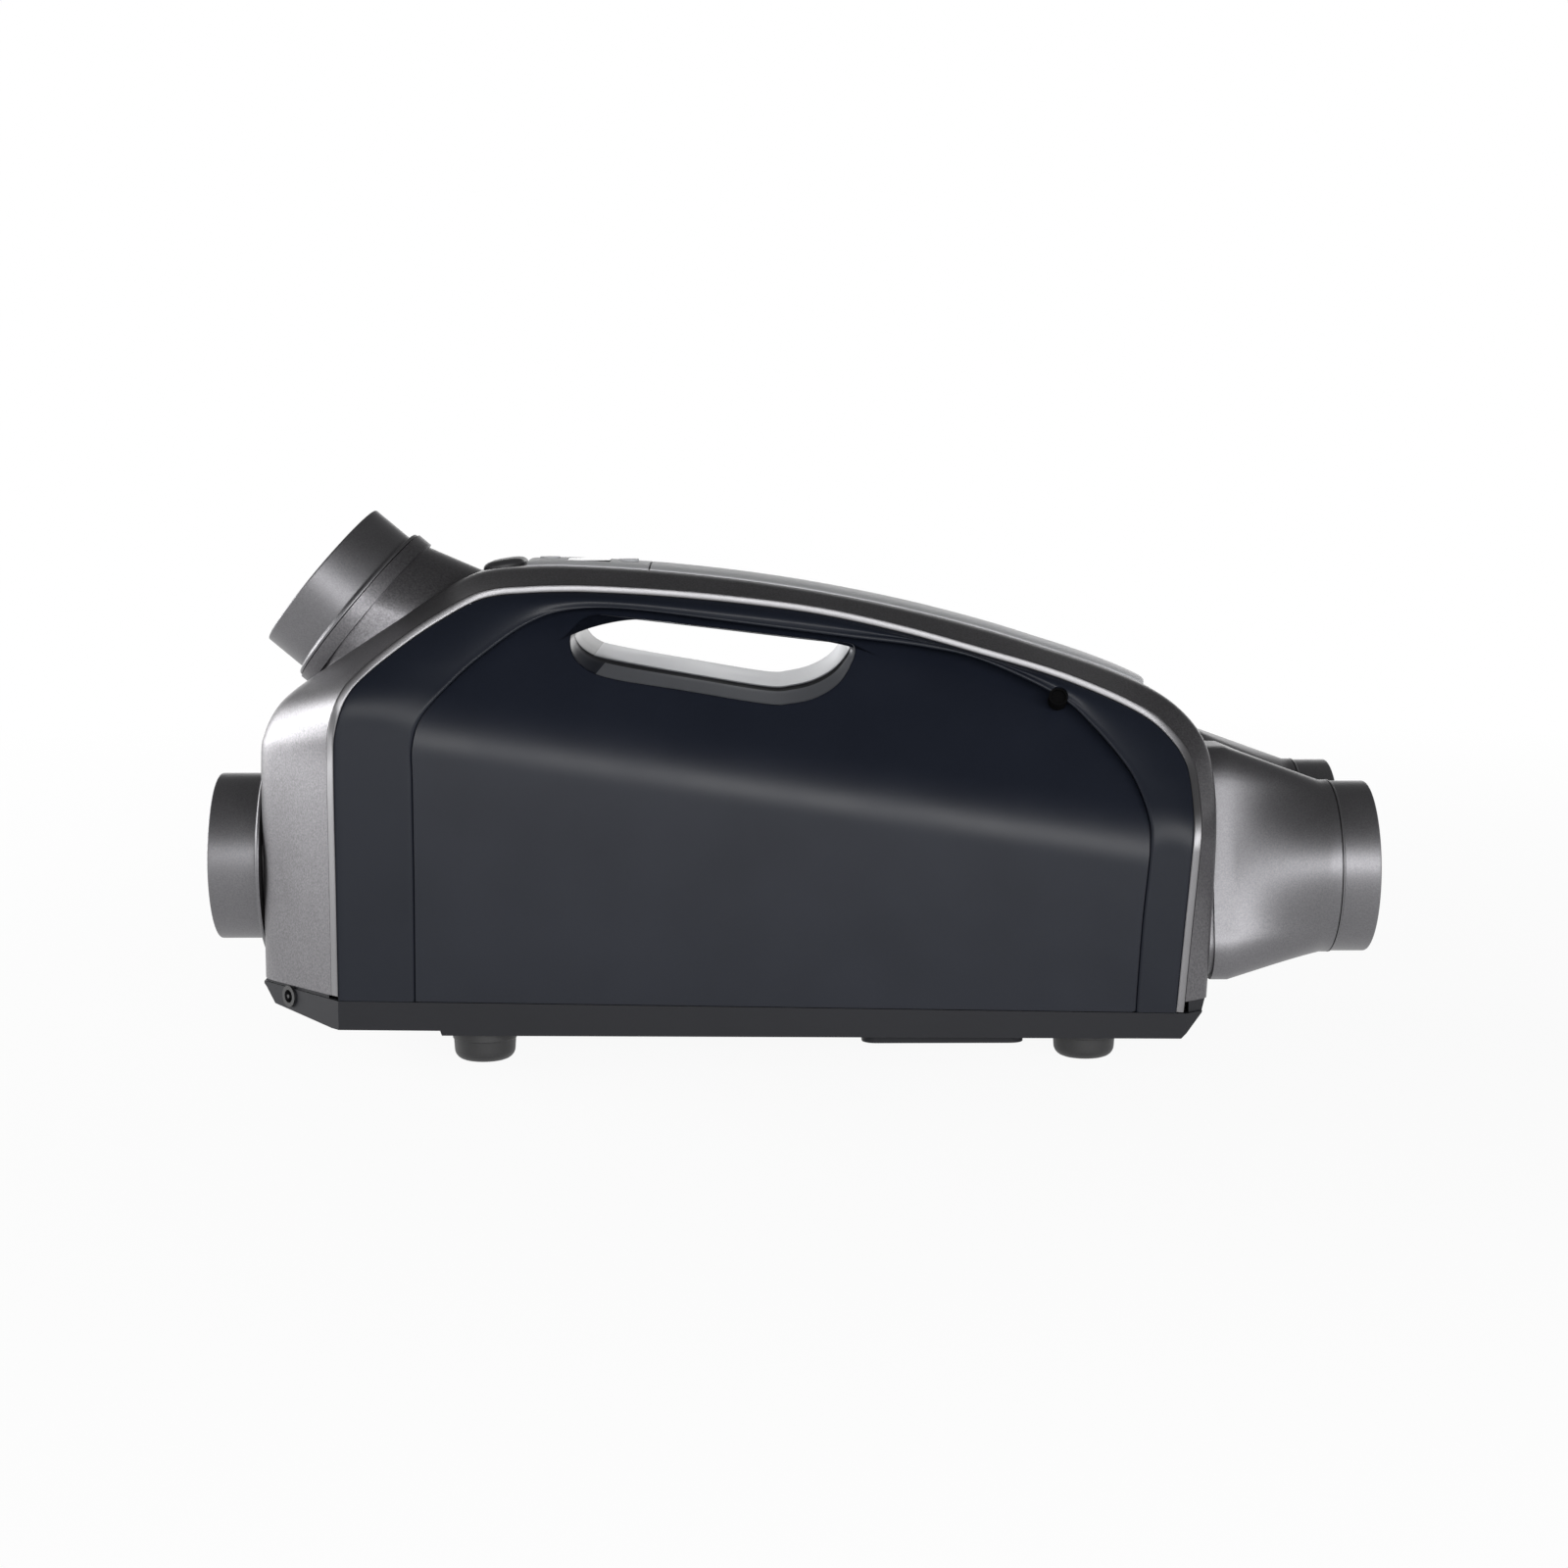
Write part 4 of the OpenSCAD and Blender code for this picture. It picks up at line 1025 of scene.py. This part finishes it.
# ---- finishes of the CAD nodes that show as they are ---------------------
FINISHES = {
    "base_tray": BASE, "belly_hatch": BASE, "belly_screws": STEEL,
    "foot_rear_right": RUBBER, "foot_rear_left": RUBBER,
    "foot_front_right": RUBBER, "foot_front_left": RUBBER,
    "foot_screws": STEEL, "display_window": DISPLAY, "power_button": CAP,
    "speed_up_button": BUTTON, "speed_down_button": BUTTON,
    "control_board": BOARD, "button_switches": BLACK, "plug_right": HOLE,
    "plug_left": HOLE, "power_inlet": BLACK, "rear_socket": BLACK,
    "lower_guard": BLACK, "upper_guard": BLACK, "lower_filter": FOAM,
    "upper_filter": FOAM, "upper_socket": PAINT,
    "outlet_guard_right": BLACK, "outlet_guard_left": BLACK,
    "bulkhead": BLACK, "fan_tube_right": BLACK, "fan_tube_left": BLACK,
    "motor_right": STEEL, "motor_left": STEEL, "bearings_right": STEEL,
    "bearings_left": STEEL, "shaft_right": STEEL, "shaft_left": STEEL,
    "impeller_right": BLACK, "impeller_left": BLACK, "power_board": BOARD,
    "heat_sink": ALUMINIUM, "wiring": WIRE,
}
BEVELS = {
    "base_tray": 0.7, "belly_hatch": 0.6, "power_button": 0.6,
    "upper_socket": 0.6, "power_inlet": 0.3, "speed_up_button": 0.5,
    "speed_down_button": 0.5,
}
for name, material in FINISHES.items():
    mesh = nodes[name].data
    mesh.materials.clear()
    mesh.materials.append(material)
for name, width in BEVELS.items():
    bevel = nodes[name].modifiers.new("edges", "BEVEL")
    bevel.width = width * MM
    bevel.segments = 3
    bevel.limit_method = "ANGLE"
    bevel.angle_limit = math.radians(30)
    bevel.harden_normals = True

# ---- floor, light and camera --------------------------------------------


def emitting(tree, colour, strength):
    node = tree.nodes.new("ShaderNodeEmission")
    node.inputs["Color"].default_value = (*colour, 1)
    node.inputs["Strength"].default_value = strength
    return node


def seen_rays(tree):
    """1 for camera, glossy and transmission rays."""
    path = tree.nodes.new("ShaderNodeLightPath")
    total = None
    for ray in ("Is Camera Ray", "Is Glossy Ray", "Is Transmission Ray"):
        if total is None:
            total = path.outputs[ray]
            continue
        node = tree.nodes.new("ShaderNodeMath")
        node.operation = "MAXIMUM"
        tree.links.new(total, node.inputs[0])
        tree.links.new(path.outputs[ray], node.inputs[1])
        total = node.outputs["Value"]
    return total


FLOOR_SIZE = 24
SHADE_START, SHADE_END = 0.5, 2.0
NEAR_GLOW = 0.93

bpy.ops.mesh.primitive_plane_add(size=FLOOR_SIZE, location=(0, 0, 0))
floor = bpy.context.object
floor.name = "floor"
floor_material, tree, shader = node_material("floor_white")
shader.inputs["Base Color"].default_value = (0.85, 0.85, 0.85, 1)
shader.inputs["Roughness"].default_value = 0.9
glow = emitting(tree, (1, 1, 1), 1.0)
place = tree.nodes.new("ShaderNodeTexCoord")
reach = tree.nodes.new("ShaderNodeVectorMath")
reach.operation = "LENGTH"
tree.links.new(place.outputs["Object"], reach.inputs[0])
near_far = spread(tree, reach.outputs["Value"], NEAR_GLOW, 1.0,
                  SHADE_START, SHADE_END)
blend = tree.nodes.new("ShaderNodeMixShader")
share = tree.nodes.new("ShaderNodeMath")
share.operation = "MULTIPLY"
tree.links.new(seen_rays(tree), share.inputs[0])
tree.links.new(near_far, share.inputs[1])
tree.links.new(share.outputs["Value"], blend.inputs["Fac"])
tree.links.new(shader.outputs["BSDF"], blend.inputs[1])
tree.links.new(glow.outputs["Emission"], blend.inputs[2])
tree.links.new(blend.outputs["Shader"],
               tree.nodes["Material Output"].inputs["Surface"])
floor.data.materials.append(floor_material)

# The world is white round the horizon and dark overhead.
SKY = [(0.0, 1.0), (0.17, 1.0), (0.36, 0.32), (0.62, 0.12), (1.0, 0.09)]
world = bpy.data.worlds.new("studio")
bpy.context.scene.world = world
world.use_nodes = True
tree = world.node_tree
place = tree.nodes.new("ShaderNodeTexCoord")
split = tree.nodes.new("ShaderNodeSeparateXYZ")
tree.links.new(place.outputs["Generated"], split.inputs["Vector"])
ramp = tree.nodes.new("ShaderNodeValToRGB")
elements = ramp.color_ramp.elements
elements.remove(elements[1])
for k, (height, level) in enumerate(SKY):
    stop = elements[0] if k == 0 else elements.new(height)
    stop.position = height
    stop.color = (level, level, level, 1)
tree.links.new(split.outputs["Z"], ramp.inputs["Fac"])
tree.links.new(ramp.outputs["Color"],
               tree.nodes["Background"].inputs["Color"])


def softbox(name, place, aim, width, height, brightness):
    """A soft lamp of even brightness, where 1 is as bright as white."""
    data = bpy.data.lights.new(name, "AREA")
    data.shape = "RECTANGLE"
    data.size, data.size_y = width, height
    data.energy = brightness * math.pi * width * height
    lamp = bpy.data.objects.new(name, data)
    bpy.context.scene.collection.objects.link(lamp)
    lamp.location = place
    lamp.rotation_euler = (Vector(aim) - Vector(place)).to_track_quat(
        "-Z", "Y").to_euler()
    lamp.visible_camera = False


softbox("front", (0.5, -2.3, 0.58), (0, 0, 0.13), 3.2, 0.5, 10.0)
softbox("left", (-1.9, 0.45, 0.45), (-0.2, 0, 0.14), 1.4, 0.7, 11.0)
softbox("rear", (0.0, 2.6, 0.45), (0, 0, 0.15), 3.2, 0.8, 1.5)

camera_data = bpy.data.cameras.new("camera")
camera = bpy.data.objects.new("camera", camera_data)
bpy.context.scene.collection.objects.link(camera)
bpy.context.scene.camera = camera
camera.location = (-0.0206, -1.6384, 0.3512)
camera.rotation_euler = (math.radians(90 - 7.07), 0, math.radians(-0.7175))
camera_data.sensor_width = 36
camera_data.lens = 62.59
camera_data.clip_start = 0.05
camera_data.clip_end = 50
bpy.context.scene.view_settings.view_transform = "Standard"
